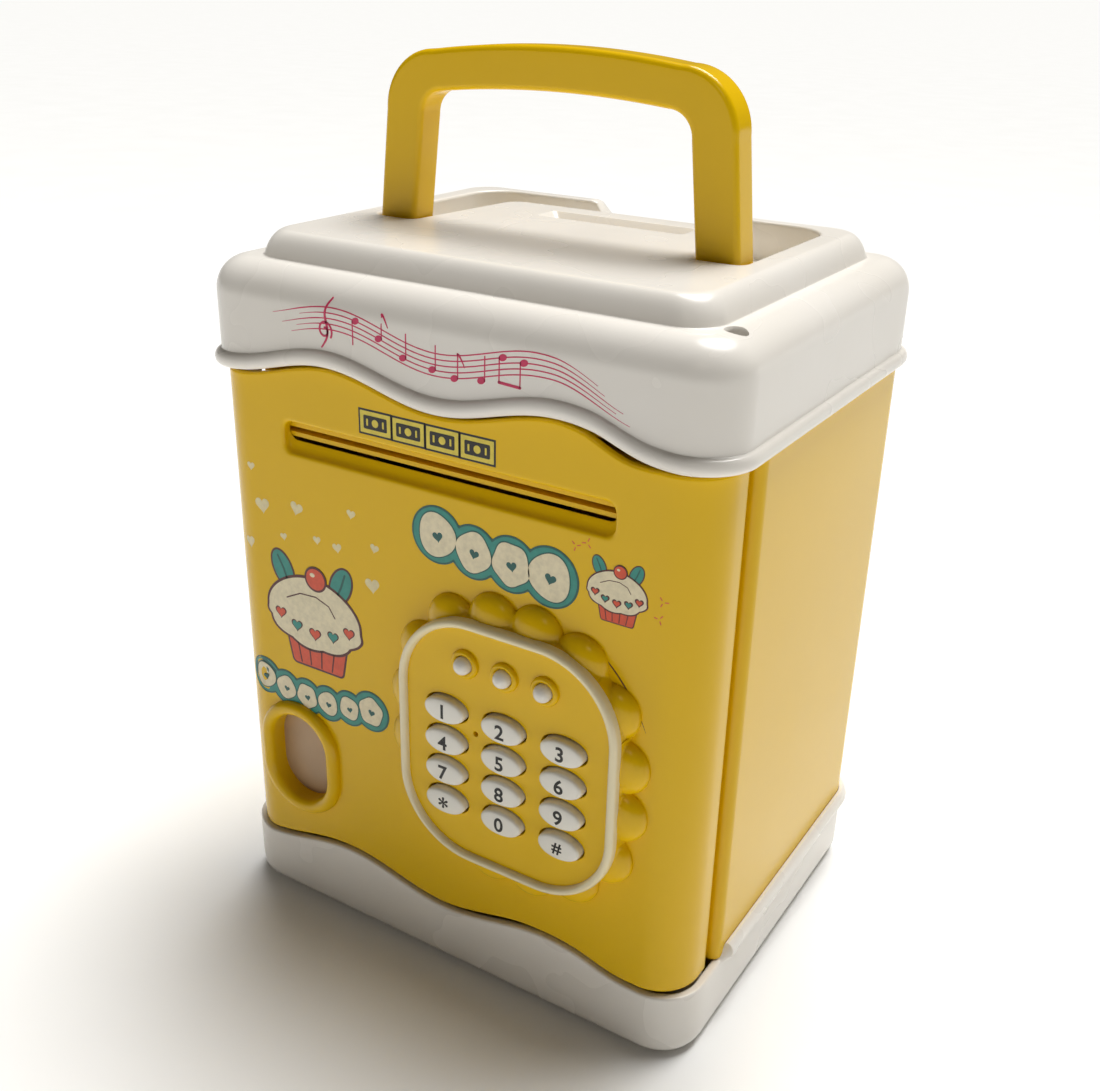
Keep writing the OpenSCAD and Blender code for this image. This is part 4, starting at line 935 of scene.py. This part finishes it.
class BANK_OT_keypad(bpy.types.Operator):
    """Builds the keypad's puffy scalloped surround, its face with the key wells, and the white trim ring"""
    bl_idname = "coin_bank.keypad"
    bl_label = "Keypad surround"

    def execute(self, context):
        lobes, r = lobe_centres(), LOBE_R
        a = np.linspace(0, 2 * np.pi, 504, endpoint=False)
        u = np.stack([np.cos(a), np.sin(a)], 1)
        ahead = u @ lobes.T
        aside = np.abs(u[:, :1] * lobes[:, 1] - u[:, 1:] * lobes[:, 0])
        reach = np.where(aside < r, ahead + np.sqrt(np.maximum(0, r * r - aside ** 2)), 0).max(1)
        plate = rounded_rect(27.8, 30.6, 19, 40, 40, 24)
        angle = np.arctan2(plate[:, 1], plate[:, 0])
        order = np.argsort(angle)
        plate_r = np.interp(a, angle[order] % (2 * np.pi), np.linalg.norm(plate, axis=1)[order],
                            period=2 * np.pi)
        reach = np.maximum(reach, plate_r + 0.3)
        inner = plate_r - 2.6
        t = np.sin(np.linspace(0, np.pi / 2, 30))
        rings = []
        for k in t:
            rho = inner + (reach - inner) * k
            p = u * rho[:, None]
            d = np.linalg.norm(p[:, None] - lobes[None], axis=2)
            dome = np.clip(1 - (d / (r + 0.02)) ** 2.3, 0, None) ** 0.55 * 3.45
            # neighbouring domes melt together: the 6th root of the sum of their 6th powers
            height = (dome ** 6).sum(1) ** (1 / 6)
            deck = 4.15 * smooth((plate_r + 0.25 - rho) / 0.9)
            height = np.maximum(np.minimum(height, 3.75), deck)
            if k == t[-1]:
                height = np.zeros(len(a))
            rings.append(stand(p + (DIAL_X, DIAL_Z), FACE_Y - height))
        rings.append(stand(u * reach[:, None] + (DIAL_X, DIAL_Z), FACE_Y + 0.3))
        rings.append(stand(u * inner[:, None] + (DIAL_X, DIAL_Z), FACE_Y + 0.3))
        skin = Skin()
        skin.rings(rings, close=True)
        make_piece("keypad_lobes", skin, material_of("yellow_abs"), "door",
                   ("keypad_bezel",), 55)

        face = Skin()
        outline = rounded_rect(26.4, 29.2, 18, 24, 24, 16) + (DIAL_X, DIAL_Z)
        wells = [squircle(KEY_A + 0.4, KEY_B + 0.4, 2.1) + key_place(k)[:2] for k in KEYS]
        pin = squircle(0.55, 0.55, 2, 16) + (DIAL_X - 7.4, DIAL_Z + 3.4)
        drop = ((-0.25, 0.0), (-0.12, 0.05), (0, 0.25), (0, 3.5))
        for w in wells + [pin]:
            face.rings([stand(shrink(w, d), DIAL_Y + y) for d, y in drop])
        stems = [squircle(2.7, 2.7, 2, 32) + key_place(k)[:2] for k in KEYS]
        for w, stem in zip(wells, stems):
            face.fill([w, stem], lambda p: stand(p, DIAL_Y + 3.5))
            face.rings([stand(stem, DIAL_Y + 3.5), stand(stem, FACE_Y - 0.3)])
        face.fill([pin], lambda p: stand(p, DIAL_Y + 3.5))
        face.fill([outline] + [shrink(w, -0.25) for w in wells + [pin]], lambda p: stand(p, DIAL_Y))
        face.rings([stand(outline, DIAL_Y), stand(outline, FACE_Y - 0.3)])
        face.fill([outline] + stems, lambda p: stand(p, FACE_Y - 0.3))
        make_piece("keypad_face", face, material_of("yellow_abs"), "door")

        ring = Skin()
        swell = np.linspace(0, np.pi, 13)
        steps = [(-1.0, 1.0)] + [(-math.cos(b), -1.4 * math.sin(b) ** 0.9) for b in swell] + [(1.0, 1.0)]
        ring.rings([stand(rounded_rect(26.6 + o, 29.4 + o, 18 + o, 30, 30, 20) + (DIAL_X, DIAL_Z), DIAL_Y + d)
                    for o, d in steps], close=True)
        make_piece("trim", ring, material_of("cream_abs"), "door", ("trim_ring",))
        return {"FINISHED"}


class BANK_OT_keys(bpy.types.Operator):
    """Builds the twelve domed oval keys with their printed signs"""
    bl_idname = "coin_bank.keys"
    bl_label = "Keys"

    def execute(self, context):
        signs = dict(zip(KEYS, ("1", "2", "3", "4", "5", "6", "7", "8", "9", "*", "0", "#")))
        profile = [(q, 0.5 * q ** 4) for q in (0.02, 0.25, 0.45, 0.6, 0.72, 0.82, 0.9)]
        profile += [(0.955, 0.55), (0.985, 0.8), (1.0, 1.15), (1.0, 3.1)]
        for name, sign in signs.items():
            x, z, front = key_place(name)
            skin = Skin()
            skin.solid([stand(squircle(KEY_A, KEY_B, 2.1) * q + (x, z), front + d) for q, d in profile])
            stem = squircle(2.2, 2.2, 2, 24)
            skin.solid([stand(stem + (x, z), y) for y in (front + 3.0, float(box_mm(name)[1][1]))])
            body = name.replace("key_", "key_cap_")
            make_piece(name + "_cap", skin, material_of("key_abs"), body, (name,))
            text = bpy.data.curves.new("sign", "FONT")
            text.body, text.size, text.align_x, text.align_y = sign, 4.8 * MM, "CENTER", "CENTER"
            text.resolution_u = 6
            if sign in "*#":
                text.size = (6.0 if sign == "*" else 3.9) * MM
            text.extrude, text.offset = 0.06 * MM, 0.09 * MM
            holder = bpy.data.objects.new("sign", text)
            bpy.context.scene.collection.objects.link(holder)
            mesh = mesh_as_seen(holder)
            bpy.data.objects.remove(holder)
            co = np.zeros(len(mesh.vertices) * 3)
            mesh.vertices.foreach_get("co", co)
            co = co.reshape(-1, 3) / MM
            mid = (co[:, :2].max(0) + co[:, :2].min(0)) / 2
            px, pz = co[:, 0] - mid[0], co[:, 1] - mid[1]
            y = front + 0.03 - co[:, 2]
            mesh.vertices.foreach_set("co", (np.column_stack([x + px, y, z + pz]) * MM).ravel())
            finish_mesh(mesh)
            piece = bpy.data.objects.new(name + "_sign", mesh)
            bpy.context.scene.collection.objects.link(piece)
            dress(piece, material_of("ink_black"), body, ())
        return {"FINISHED"}


class BANK_OT_lamps(bpy.types.Operator):
    """Builds the three indicator lamps, each a frosted dome in a raised cup"""
    bl_idname = "coin_bank.lamps"
    bl_label = "Indicator lamps"

    def execute(self, context):
        cups = Skin()
        for name in ("indicator_left", "indicator_middle", "indicator_right"):
            low, high = box_mm(name)
            x, z = float(low[0] + high[0]) / 2, float(low[2] + high[2]) / 2
            disc = circle(48)
            swell = np.linspace(0, np.pi, 11)
            steps = [(2.0, 0.6)] + [(2.7 - 0.7 * math.cos(a), -1.0 * math.sin(a) ** 0.8) for a in swell]
            steps += [(3.4, 0.6)]
            cups.rings([stand(disc * q + (x, z), DIAL_Y + d) for q, d in steps], close=True)
            dome = Skin()
            a = np.linspace(0.02, np.pi / 2, 12)
            steps = [(2.0 * math.sin(b), -1.0 - 2.0 * math.cos(b)) for b in a] + [(1.98, 1.5)]
            dome.solid([stand(disc * q + (x, z), DIAL_Y + d) for q, d in steps])
            make_piece(name.replace("indicator", "lamp"), dome, material_of("lamp"), "door",
                       (name,))
        make_piece("lamp_cups", cups, material_of("yellow_abs"), "door")
        return {"FINISHED"}


# ---------------------------------------------------------------- prints

class Ink:
    """Flat printed shapes, sorted by colour. Each is a thin closed film that follows the surface below it."""

    def __init__(self, step):
        self.skins, self.step = {}, step

    def film(self, colour, outline, layer, place):
        """A film inside an outline: its front stands off by its layer, its back lies in the surface."""
        skin = self.skins.setdefault(colour, Skin())
        out, back = -self.step * layer, 0.05
        skin.rings([place(outline, out), place(outline, back)])
        for d in (out, back):
            skin.fill([outline], lambda p: place(p, d))

    def stroke(self, colour, line, width, layer, place):
        """A line of given width: two offset copies of the line joined by round ends."""
        line = np.asarray(line, float)
        ahead = np.gradient(line, axis=0)
        ahead /= np.linalg.norm(ahead, axis=1)[:, None]
        normal = np.stack([-ahead[:, 1], ahead[:, 0]], 1)
        w = np.broadcast_to(width, len(line))[:, None] / 2
        t = np.linspace(-np.pi / 2, np.pi / 2, 7)[1:-1, None]
        ends = []
        for p, v, h in ((line[-1], ahead[-1], w[-1]), (line[0], -ahead[0], w[0])):
            n = np.array([-v[1], v[0]])
            ends.append(p + h * (np.cos(t) * v + np.sin(t) * n))
        outline = np.concatenate([line - w * normal, ends[0], (line + w * normal)[::-1], ends[1]])
        self.film(colour, outline, layer, place)

    def pieces(self, prefix, body):
        """Makes one piece of each colour's films."""
        for colour, skin in self.skins.items():
            make_piece(f"{prefix}_{colour}", skin, material_of("ink_" + colour), body)


def on_door(points, d):
    """Puts points drawn by arc length and height on the door's skin at depth d. They are drawn from the
    line PRINT_X."""
    x, y = wrap(points[:, 0] + PRINT_X, d)
    return np.column_stack([x, y, points[:, 1]])


def on_cover(points, d):
    """Puts points drawn by X and height on the cover's front, over the shoulder where they pass it."""
    q, start = 7.5, LEDGE_Z - 7.5
    a = np.arcsin(np.clip((points[:, 1] - start) / q, 0, 0.98))
    z = np.where(points[:, 1] > start, start + (q - d) * np.sin(a), points[:, 1])
    return np.column_stack([points[:, 0] + PRINT_X, -OUT_D + q - (q - d) * np.cos(a), z])


def heart(x, z, size, turn=0.0):
    """Heart curve: 16 sin cubed across, 13 cos minus 5 cos 2 minus 2 cos 3 minus cos 4 upwards."""
    t = np.linspace(0, 2 * np.pi, 48, endpoint=False)
    up = 13 * np.cos(t) - 5 * np.cos(2 * t) - 2 * np.cos(3 * t) - np.cos(4 * t)
    p = np.stack([16 * np.sin(t) ** 3, up], 1)
    c, s = math.cos(turn), math.sin(turn)
    return p[::-1] @ np.array([[c, s], [-s, c]]) * size / 32 + (x, z)


def bumpy(x, z, a, b, bumps, depth, turn=0.0):
    """Ellipse whose radius swells and dips: 1 plus depth times the cosine of bumps turns."""
    t = np.linspace(0, 2 * np.pi, 96, endpoint=False)
    q = 1 + depth * np.cos(bumps * t + turn)
    return np.stack([x + a * q * np.cos(t), z + b * q * np.sin(t)], 1)


def cluster(circles, grow):
    """Outline of a row of overlapping circles, found by casting rays up and down from their common axis."""
    c = np.array(circles, float)
    a, b = c[0, :2] - (c[0, 2] + grow, 0), c[-1, :2] + (c[-1, 2] + grow, 0)
    x = a[0] + (b[0] - a[0]) * (1 - np.cos(np.linspace(0, np.pi, 160))) / 2
    r2 = (c[:, 2] + grow)[None] ** 2 - (x[:, None] - c[None, :, 0]) ** 2
    h = np.sqrt(np.maximum(0, r2))
    up = np.where(r2 > 0, c[None, :, 1] + h, -np.inf).max(1)
    down = np.where(r2 > 0, c[None, :, 1] - h, np.inf).min(1)
    up[[0, -1]] = down[[0, -1]] = (c[0, 1], c[-1, 1])
    return np.concatenate([np.stack([x, down], 1)[:-1], np.stack([x, up], 1)[:0:-1]])


def cake(ink, x, z, k):
    """A small iced cake: a striped case, icing with a wavy foot, two leaves, a cherry and a row of hearts."""
    case = soft_outline([(-6.5, -13, 1), (7.5, -13, 1), (9, -5.5, 0.6), (-8, -5.5, 0.6)], 1) * k + (x, z)
    ink.film("brown", shrink(case, -0.5 * k), 1, on_door)
    ink.film("orange", case, 2, on_door)
    for s in (-4.5, -1.6, 1.6, 4.8):
        stripe = np.array([[s * 0.95, -12.6], [s * 1.08, -9], [s * 1.2, -6]])
        ink.stroke("brown", stripe * k + (x, z), 0.35 * k, 3, on_door)
    for sx in (-1, 1):
        lean = 0.42 * sx
        turned = np.array([[math.cos(lean), -math.sin(lean)], [math.sin(lean), math.cos(lean)]])
        for grow, colour, layer in ((0.5, "brown", 1), (0, "teal", 2)):
            leaf = bumpy(0, 0, 2.5 + grow, 4.6 + grow, 2, 0.04) @ turned
            ink.film(colour, leaf * k + (x + sx * 8.2 * k, z + 9.4 * k), layer, on_door)
        vein = np.array([[0, -3.6], [0.2, 0], [0, 3.2]]) @ turned
        ink.stroke("deep", vein * k + (x + sx * 8.2 * k, z + 9.4 * k), 0.5 * k, 3, on_door)
    t = np.linspace(0, 2 * np.pi, 180, endpoint=False)
    hem = 1 + 0.07 * np.abs(np.sin(4.5 * t)) * smooth(-3 * np.sin(t))
    rise = 8.0 + 0.8 * np.maximum(0, np.sin(t)) ** 2
    icing = np.stack([13.0 * hem * np.cos(t), rise * hem * np.sin(t)], 1)
    ink.film("brown", icing * (1.045, 1.075) * k + (x, z), 3, on_door)
    ink.film("cream", icing * k + (x, z), 4, on_door)
    for px, pz, size, colour in ((-9.6, -1.6, 2.6, "orange"), (-5.0, -3.6, 2.6, "teal"),
                                 (0.2, -4.4, 2.8, "orange"), (5.4, -3.6, 2.6, "teal"),
                                 (10.0, -1.4, 2.6, "orange")):
        ink.film("brown", heart(x + px * k, z + pz * k, size * k + 0.7), 5, on_door)
        ink.film(colour, heart(x + px * k, z + pz * k, size * k), 6, on_door)
    swirl = np.array([[-7.5, 2.6], [-3.5, 4.6], [1.0, 4.9], [4.6, 3.6], [6.2, 1.2]])
    ink.stroke("brown", swirl * k + (x, z), 0.3 * k, 5, on_door)
    for grow, colour, layer in ((0.5, "brown", 5), (0, "orange", 6)):
        cherry = circle(48) * (2.6 + grow, 2.5 + grow) + (1.2, 9.2)
        ink.film(colour, cherry * k + (x, z), layer, on_door)
    glint = circle(24) * (0.7, 0.5) + (0.4, 10.1)
    ink.film("cream", glint * k + (x, z), 7, on_door)


def badge(ink, circles):
    """A puffy badge: a dark rim, a teal band and one cream bubble with a small heart in each lobe."""
    ink.film("deep", cluster(circles, 0.0), 3, on_door)
    ink.film("teal", cluster(circles, -0.45), 4, on_door)
    for k, (x, z, r) in enumerate(circles):
        q = r - 1.9
        ink.film("deep", bumpy(x, z, q + 0.28, q * 1.06 + 0.28, 3 + k % 3, 0.05, k), 5, on_door)
        ink.film("cream", bumpy(x, z, q, q * 1.06, 3 + k % 3, 0.05, k), 6, on_door)
        ink.film("deep", heart(x + 0.2, z - 0.3, q * 0.55, 0.2 * (-1) ** k), 7, on_door)


class BANK_OT_door_prints(bpy.types.Operator):
    """Prints the door: two iced cakes, two bubble badges, pale hearts and a row of note signs"""
    bl_idname = "coin_bank.door_prints"
    bl_label = "Door prints"

    def execute(self, context):
        ink = Ink(context.scene.bank_sizes.ink / MM)
        cake(ink, -38.2, 83.5, 1.06)
        cake(ink, 41.2, 111.8, 0.5)
        badge(ink, [(-2.0 + 9.3 * i, z, r) for i, (z, r) in
                    enumerate(((113.2, 6.6), (111.6, 6.2), (111.3, 6.4), (111.0, 6.8)))])
        badge(ink, [(-55.0 + 6.6 * i, z, r) for i, (z, r) in
                    enumerate(((62.6, 5.0), (61.2, 4.8), (60.8, 4.9), (61.0, 4.8), (61.9, 4.7),
                               (63.3, 5.3)))])
        for x, z, size, turn in (
                (-52.0, 108.2, 4.2, 0.1), (-41.5, 109.8, 3.6, -0.2), (-57.0, 97.8, 3.2, 0.2),
                (-35.9, 103.4, 2.2, 0.1), (-25.5, 112.2, 2.4, -0.1), (-30.0, 103.0, 2.6, 0.2),
                (-19.2, 105.6, 2.4, -0.2), (-20.2, 96.4, 4.0, 0.1), (-54.7, 117.2, 2.2, 0),
                (-46.0, 101.8, 2.0, 0.2)):
            ink.film("pale", heart(x, z, size, turn), 1, on_door)
        # four small note signs over the slot
        for k in range(4):
            x, z = -17.7 + 8.65 * k, 134.5 - 0.06 * k
            ink.film("black", rounded_rect(4.45, 2.85, 0.1, 2, 2, 2) + (x, z), 1, on_door)
            ink.film("label", rounded_rect(4.0, 2.4, 0.1, 2, 2, 2) + (x, z), 2, on_door)
            ink.film("black", rounded_rect(3.1, 1.5, 0.3, 2, 2, 3) + (x, z), 3, on_door)
            ink.film("label", circle(32) * 0.85 + (x, z), 4, on_door)
            for s in (-1, 1):
                ink.film("label", rounded_rect(0.22, 0.75, 0.1, 2, 2, 2) + (x + 2.1 * s, z), 4, on_door)
        # sparks beside the small cake, and a line round the keypad's upper right
        for x, z, turn in ((31.6, 119.4, 0.3), (34.2, 120.6, 1.2), (51.2, 112.6, 0.1), (50.6, 108.8, 0.9)):
            for a in (turn, turn + 2.1, turn + 4.2):
                t = np.linspace(0.45, 1.1, 4)[:, None]
                ink.stroke("orange", np.array([x, z]) + t * (math.cos(a), math.sin(a)), 0.22, 1, on_door)
        a = np.radians(np.linspace(24, 62, 24))
        ink.stroke("brown", np.stack([DIAL_X - PRINT_X + 34.2 * np.cos(a), DIAL_Z + 37.2 * np.sin(a)], 1),
                   0.35 * np.sin(np.linspace(0.1, np.pi - 0.1, 24)), 1, on_door)
        ink.pieces("door_print", "door")
        return {"FINISHED"}


class BANK_OT_music_print(bpy.types.Operator):
    """Prints a wavy stave with notes on the cover's front"""
    bl_idname = "coin_bank.music_print"
    bl_label = "Music print"

    def execute(self, context):
        ink = Ink(context.scene.bank_sizes.ink / MM)

        def stave(x, level):
            """Height of a stave line, 0 at the bottom to 4 at the top: a wave that narrows and falls
            at the right."""
            middle = 152.6 + 2.3 * np.cos(2 * np.pi * (x + 27) / 50.5) - 0.02 * (x + 10)
            spread = 1.15 - 0.3 * smooth((x - 18) / 24)
            return middle + (level - 2) * spread - 2.2 * smooth((x - 26) / 18)

        starts, ends = (-39, -37.5, -41.5, -36.5, -44.0), (42.5, 39.5, 41.0, 37.0, 35.5)
        for level in range(5):
            x = np.linspace(starts[level], ends[level], 90)
            width = 0.1 + 0.16 * smooth((x - starts[level]) / 9) * smooth((ends[level] - x) / 12)
            ink.stroke("pink", np.stack([x, stave(x, level)], 1), width, 1, on_cover)
        notes = ((-21.5, 3, -1), (-15.6, 2, 1), (-9.5, 1, 1), (-2.2, 1, 1), (3.2, 0, 1), (9.6, -0.6, 1),
                 (14.6, 3, -1), (19.4, 2, -1))
        for k, (x, level, up) in enumerate(notes):
            z = float(stave(np.array([x]), level)[0])
            head = circle(32) * (0.95, 0.68)
            c, s = math.cos(0.4), math.sin(0.4)
            ink.film("pink", head @ np.array([[c, s], [-s, c]]) + (x, z), 2, on_cover)
            stem = np.array([[x + 0.8 * up, z], [x + 0.82 * up, z + 2.6 * up], [x + 0.85 * up, z + 5.0 * up]])
            ink.stroke("pink", stem, 0.26, 2, on_cover)
            if k in (1, 4):
                t = np.linspace(0, 1, 8)
                flag = np.stack([stem[-1, 0] + 1.6 * t, stem[-1, 1] - 2.4 * t ** 1.5 * up], 1)
                ink.stroke("pink", flag, 0.5 - 0.3 * t, 2, on_cover)
        # beam over the last pair
        ends = [np.array([x - 0.85, float(stave(np.array([x]), l)[0]) - 5.0]) for x, l, _ in notes[-2:]]
        t = np.linspace(0, 1, 5)[:, None]
        ink.stroke("pink", ends[0] * (1 - t) + ends[1] * t, 0.6, 2, on_cover)
        # opening sign: a curl that widens into a tall loop
        t = np.linspace(0, 1, 60)
        turn = 2 * np.pi * 1.35 * t
        curl = np.stack([-29.8 + (0.5 + 1.5 * t) * np.sin(turn), 152.6 + (0.6 + 1.6 * t) * np.cos(turn)], 1)
        ink.stroke("pink", curl, 0.42, 3, on_cover)
        t = np.linspace(0, 1, 30)
        sweep = np.stack([-30.8 + 3.0 * t + 0.9 * np.sin(2 * np.pi * t), 148.9 + 10.6 * t], 1)
        ink.stroke("pink", sweep, 0.34 + 0.2 * np.sin(np.pi * t), 3, on_cover)
        ink.pieces("cover_print", "case")
        return {"FINISHED"}


# ---------------------------------------------------------------- inner pieces

class BANK_OT_inner_pieces(bpy.types.Operator):
    """Rounds the door's inner cover and hatch, and gives every inner piece its finish"""
    bl_idname = "coin_bank.inner_pieces"
    bl_label = "Inner pieces"

    def execute(self, context):
        satin = material_of("yellow_satin")
        softened_copy("door_inner_cover", "inner_cover", 0.4, satin, "door")
        softened_copy("battery_cover", "hatch", 0.35, satin, "battery_hatch")
        softened_copy("latch_bolt", "bolt", 0.3, material_of("key_abs"), "latch")
        finishes = {
            "steel": ("cover_screws", "base_screws", "upper_hinge_pin", "lower_hinge_pin", "handle_pins",
                      "drive_roller_shaft", "pinch_roller_shaft", "feed_motor", "motor_pinion",
                      "battery_contacts", "lock_solenoid", "latch_spring", "door_screws", "board_screws"),
            "rubber": ("drive_rollers", "pinch_rollers"),
            "silicone": ("keypad_membrane",),
            "circuit": ("main_board", "finger_lamp_board"),
            "yellow_satin": ("note_guide_lower", "note_guide_upper"),
            "black_abs": ("speaker",),
            "acetal": ("drive_gear",),
            "cell": ("battery_cells",),
        }
        for key, names in finishes.items():
            for name in names:
                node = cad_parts[name]
                node.data.materials.clear()
                node.data.materials.append(material_of(key))
        return {"FINISHED"}


# ---------------------------------------------------------------- stage

class BANK_OT_stage(bpy.types.Operator):
    """Sets the pale floor, the soft lights and the camera"""
    bl_idname = "coin_bank.stage"
    bl_label = "Stage"

    def execute(self, context):
        scene = context.scene
        n = 24
        t = 60 * np.linspace(-1, 1, n) ** 3
        x, y = np.meshgrid(t, t)
        mesh = bpy.data.meshes.new("floor")
        i = np.arange(n * n).reshape(n, n)
        quads = np.stack([i[:-1, :-1], i[:-1, 1:], i[1:, 1:], i[1:, :-1]], -1).reshape(-1, 4)
        points = np.column_stack([x.ravel(), y.ravel(), np.full(n * n, -0.02 * MM)])
        mesh.from_pydata(points.tolist(), [], quads.tolist())
        floor = bpy.data.objects.new("floor", mesh)
        scene.collection.objects.link(floor)
        material, tree, where, shader = start_material("pale_paper_floor")
        two_tone(tree, shader, noise(tree, where, 60, 3.0), linear("#FBFBFA"), linear("#F5F5F3"))
        shader.inputs["Roughness"].default_value = 0.9
        shader.inputs["Specular IOR Level"].default_value = 0.1
        mesh.materials.append(material)

        world = bpy.data.worlds.new("soft_room")
        scene.world = world
        world.use_nodes = True
        background = world.node_tree.nodes["Background"]
        background.inputs["Color"].default_value = (1.0, 0.94, 0.86, 1)
        background.inputs["Strength"].default_value = 0.07

        target = Vector((0, 0, 0.09))
        sun = bpy.data.lights.new("high_window", "SUN")
        sun.energy, sun.angle, sun.color = 3.35, math.radians(38), (1.0, 0.995, 0.985)
        lights = [(sun, (0.02, 0.34, 1.0))]
        for name, place, size, power, colour in (
                ("top_softbox", (0.12, 0.3, 1.0), 0.5, 2.6, (1.0, 0.99, 0.97)),
                ("front_fill", (0.3, -1.0, 0.9), 0.3, 0.5, (1.0, 0.88, 0.74))):
            data = bpy.data.lights.new(name, "AREA")
            data.shape, data.size, data.energy, data.color = "DISK", size, power, colour
            lights.append((data, place))
        for data, place in lights:
            lamp = bpy.data.objects.new(data.name, data)
            lamp.location = place
            lamp.rotation_euler = (target - Vector(place)).to_track_quat("-Z", "Y").to_euler()
            scene.collection.objects.link(lamp)

        data = bpy.data.cameras.new("camera")
        data.sensor_fit, data.sensor_width, data.lens = "HORIZONTAL", 36.0, 36.0 * 1280 / 1100
        data.clip_start, data.clip_end = 0.01, 200
        camera = bpy.data.objects.new("camera", data)
        azimuth, elevation, roll = math.radians(31.618), math.radians(24.167), math.radians(1.3606)
        back = Vector((math.sin(azimuth) * math.cos(elevation), -math.cos(azimuth) * math.cos(elevation),
                       math.sin(elevation)))
        level = Vector((math.cos(azimuth), math.sin(azimuth), 0))
        rise = back.cross(level).normalized()
        right = level * math.cos(roll) + rise * math.sin(roll)
        up = -level * math.sin(roll) + rise * math.cos(roll)
        turned = Matrix((right, up, back)).transposed().to_4x4()
        camera.matrix_world = Matrix.Translation((0.1485, -0.2472, 0.2213)) @ turned
        scene.collection.objects.link(camera)
        scene.camera = camera
        scene.view_settings.view_transform = "Standard"
        scene.view_settings.look = "None"
        return {"FINISHED"}


# ---------------------------------------------------------------- add-on

PIECES = (BANK_OT_cover, BANK_OT_base, BANK_OT_body, BANK_OT_handle, BANK_OT_door, BANK_OT_finger_window,
          BANK_OT_keypad, BANK_OT_keys, BANK_OT_lamps, BANK_OT_door_prints, BANK_OT_music_print,
          BANK_OT_inner_pieces, BANK_OT_stage)


class BANK_PT_panel(bpy.types.Panel):
    bl_label = "Toy Safe Coin Bank"
    bl_idname = "BANK_PT_panel"
    bl_space_type = "VIEW_3D"
    bl_region_type = "UI"
    bl_category = "Coin Bank"

    def draw(self, context):
        column = self.layout.column()
        for operator in PIECES:
            column.operator(operator.bl_idname)
        for group in (context.scene.bank_colours, context.scene.bank_sizes):
            for key in group.bl_rna.properties.keys():
                if key not in {"rna_type", "name"}:
                    column.prop(group, key)


CLASSES = (BankColours, BankSizes) + PIECES + (BANK_PT_panel,)


def register():
    """Adds the settings, operators and panel to Blender."""
    for c in CLASSES:
        bpy.utils.register_class(c)
    bpy.types.Scene.bank_colours = bpy.props.PointerProperty(type=BankColours)
    bpy.types.Scene.bank_sizes = bpy.props.PointerProperty(type=BankSizes)


def unregister():
    """Takes them out again."""
    del bpy.types.Scene.bank_sizes
    del bpy.types.Scene.bank_colours
    for c in reversed(CLASSES):
        bpy.utils.unregister_class(c)


def main():
    """Builds every piece."""
    register()
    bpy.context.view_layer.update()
    for operator in PIECES:
        group, name = operator.bl_idname.split(".")
        getattr(getattr(bpy.ops, group), name)()


if __name__ == "__main__":
    main()
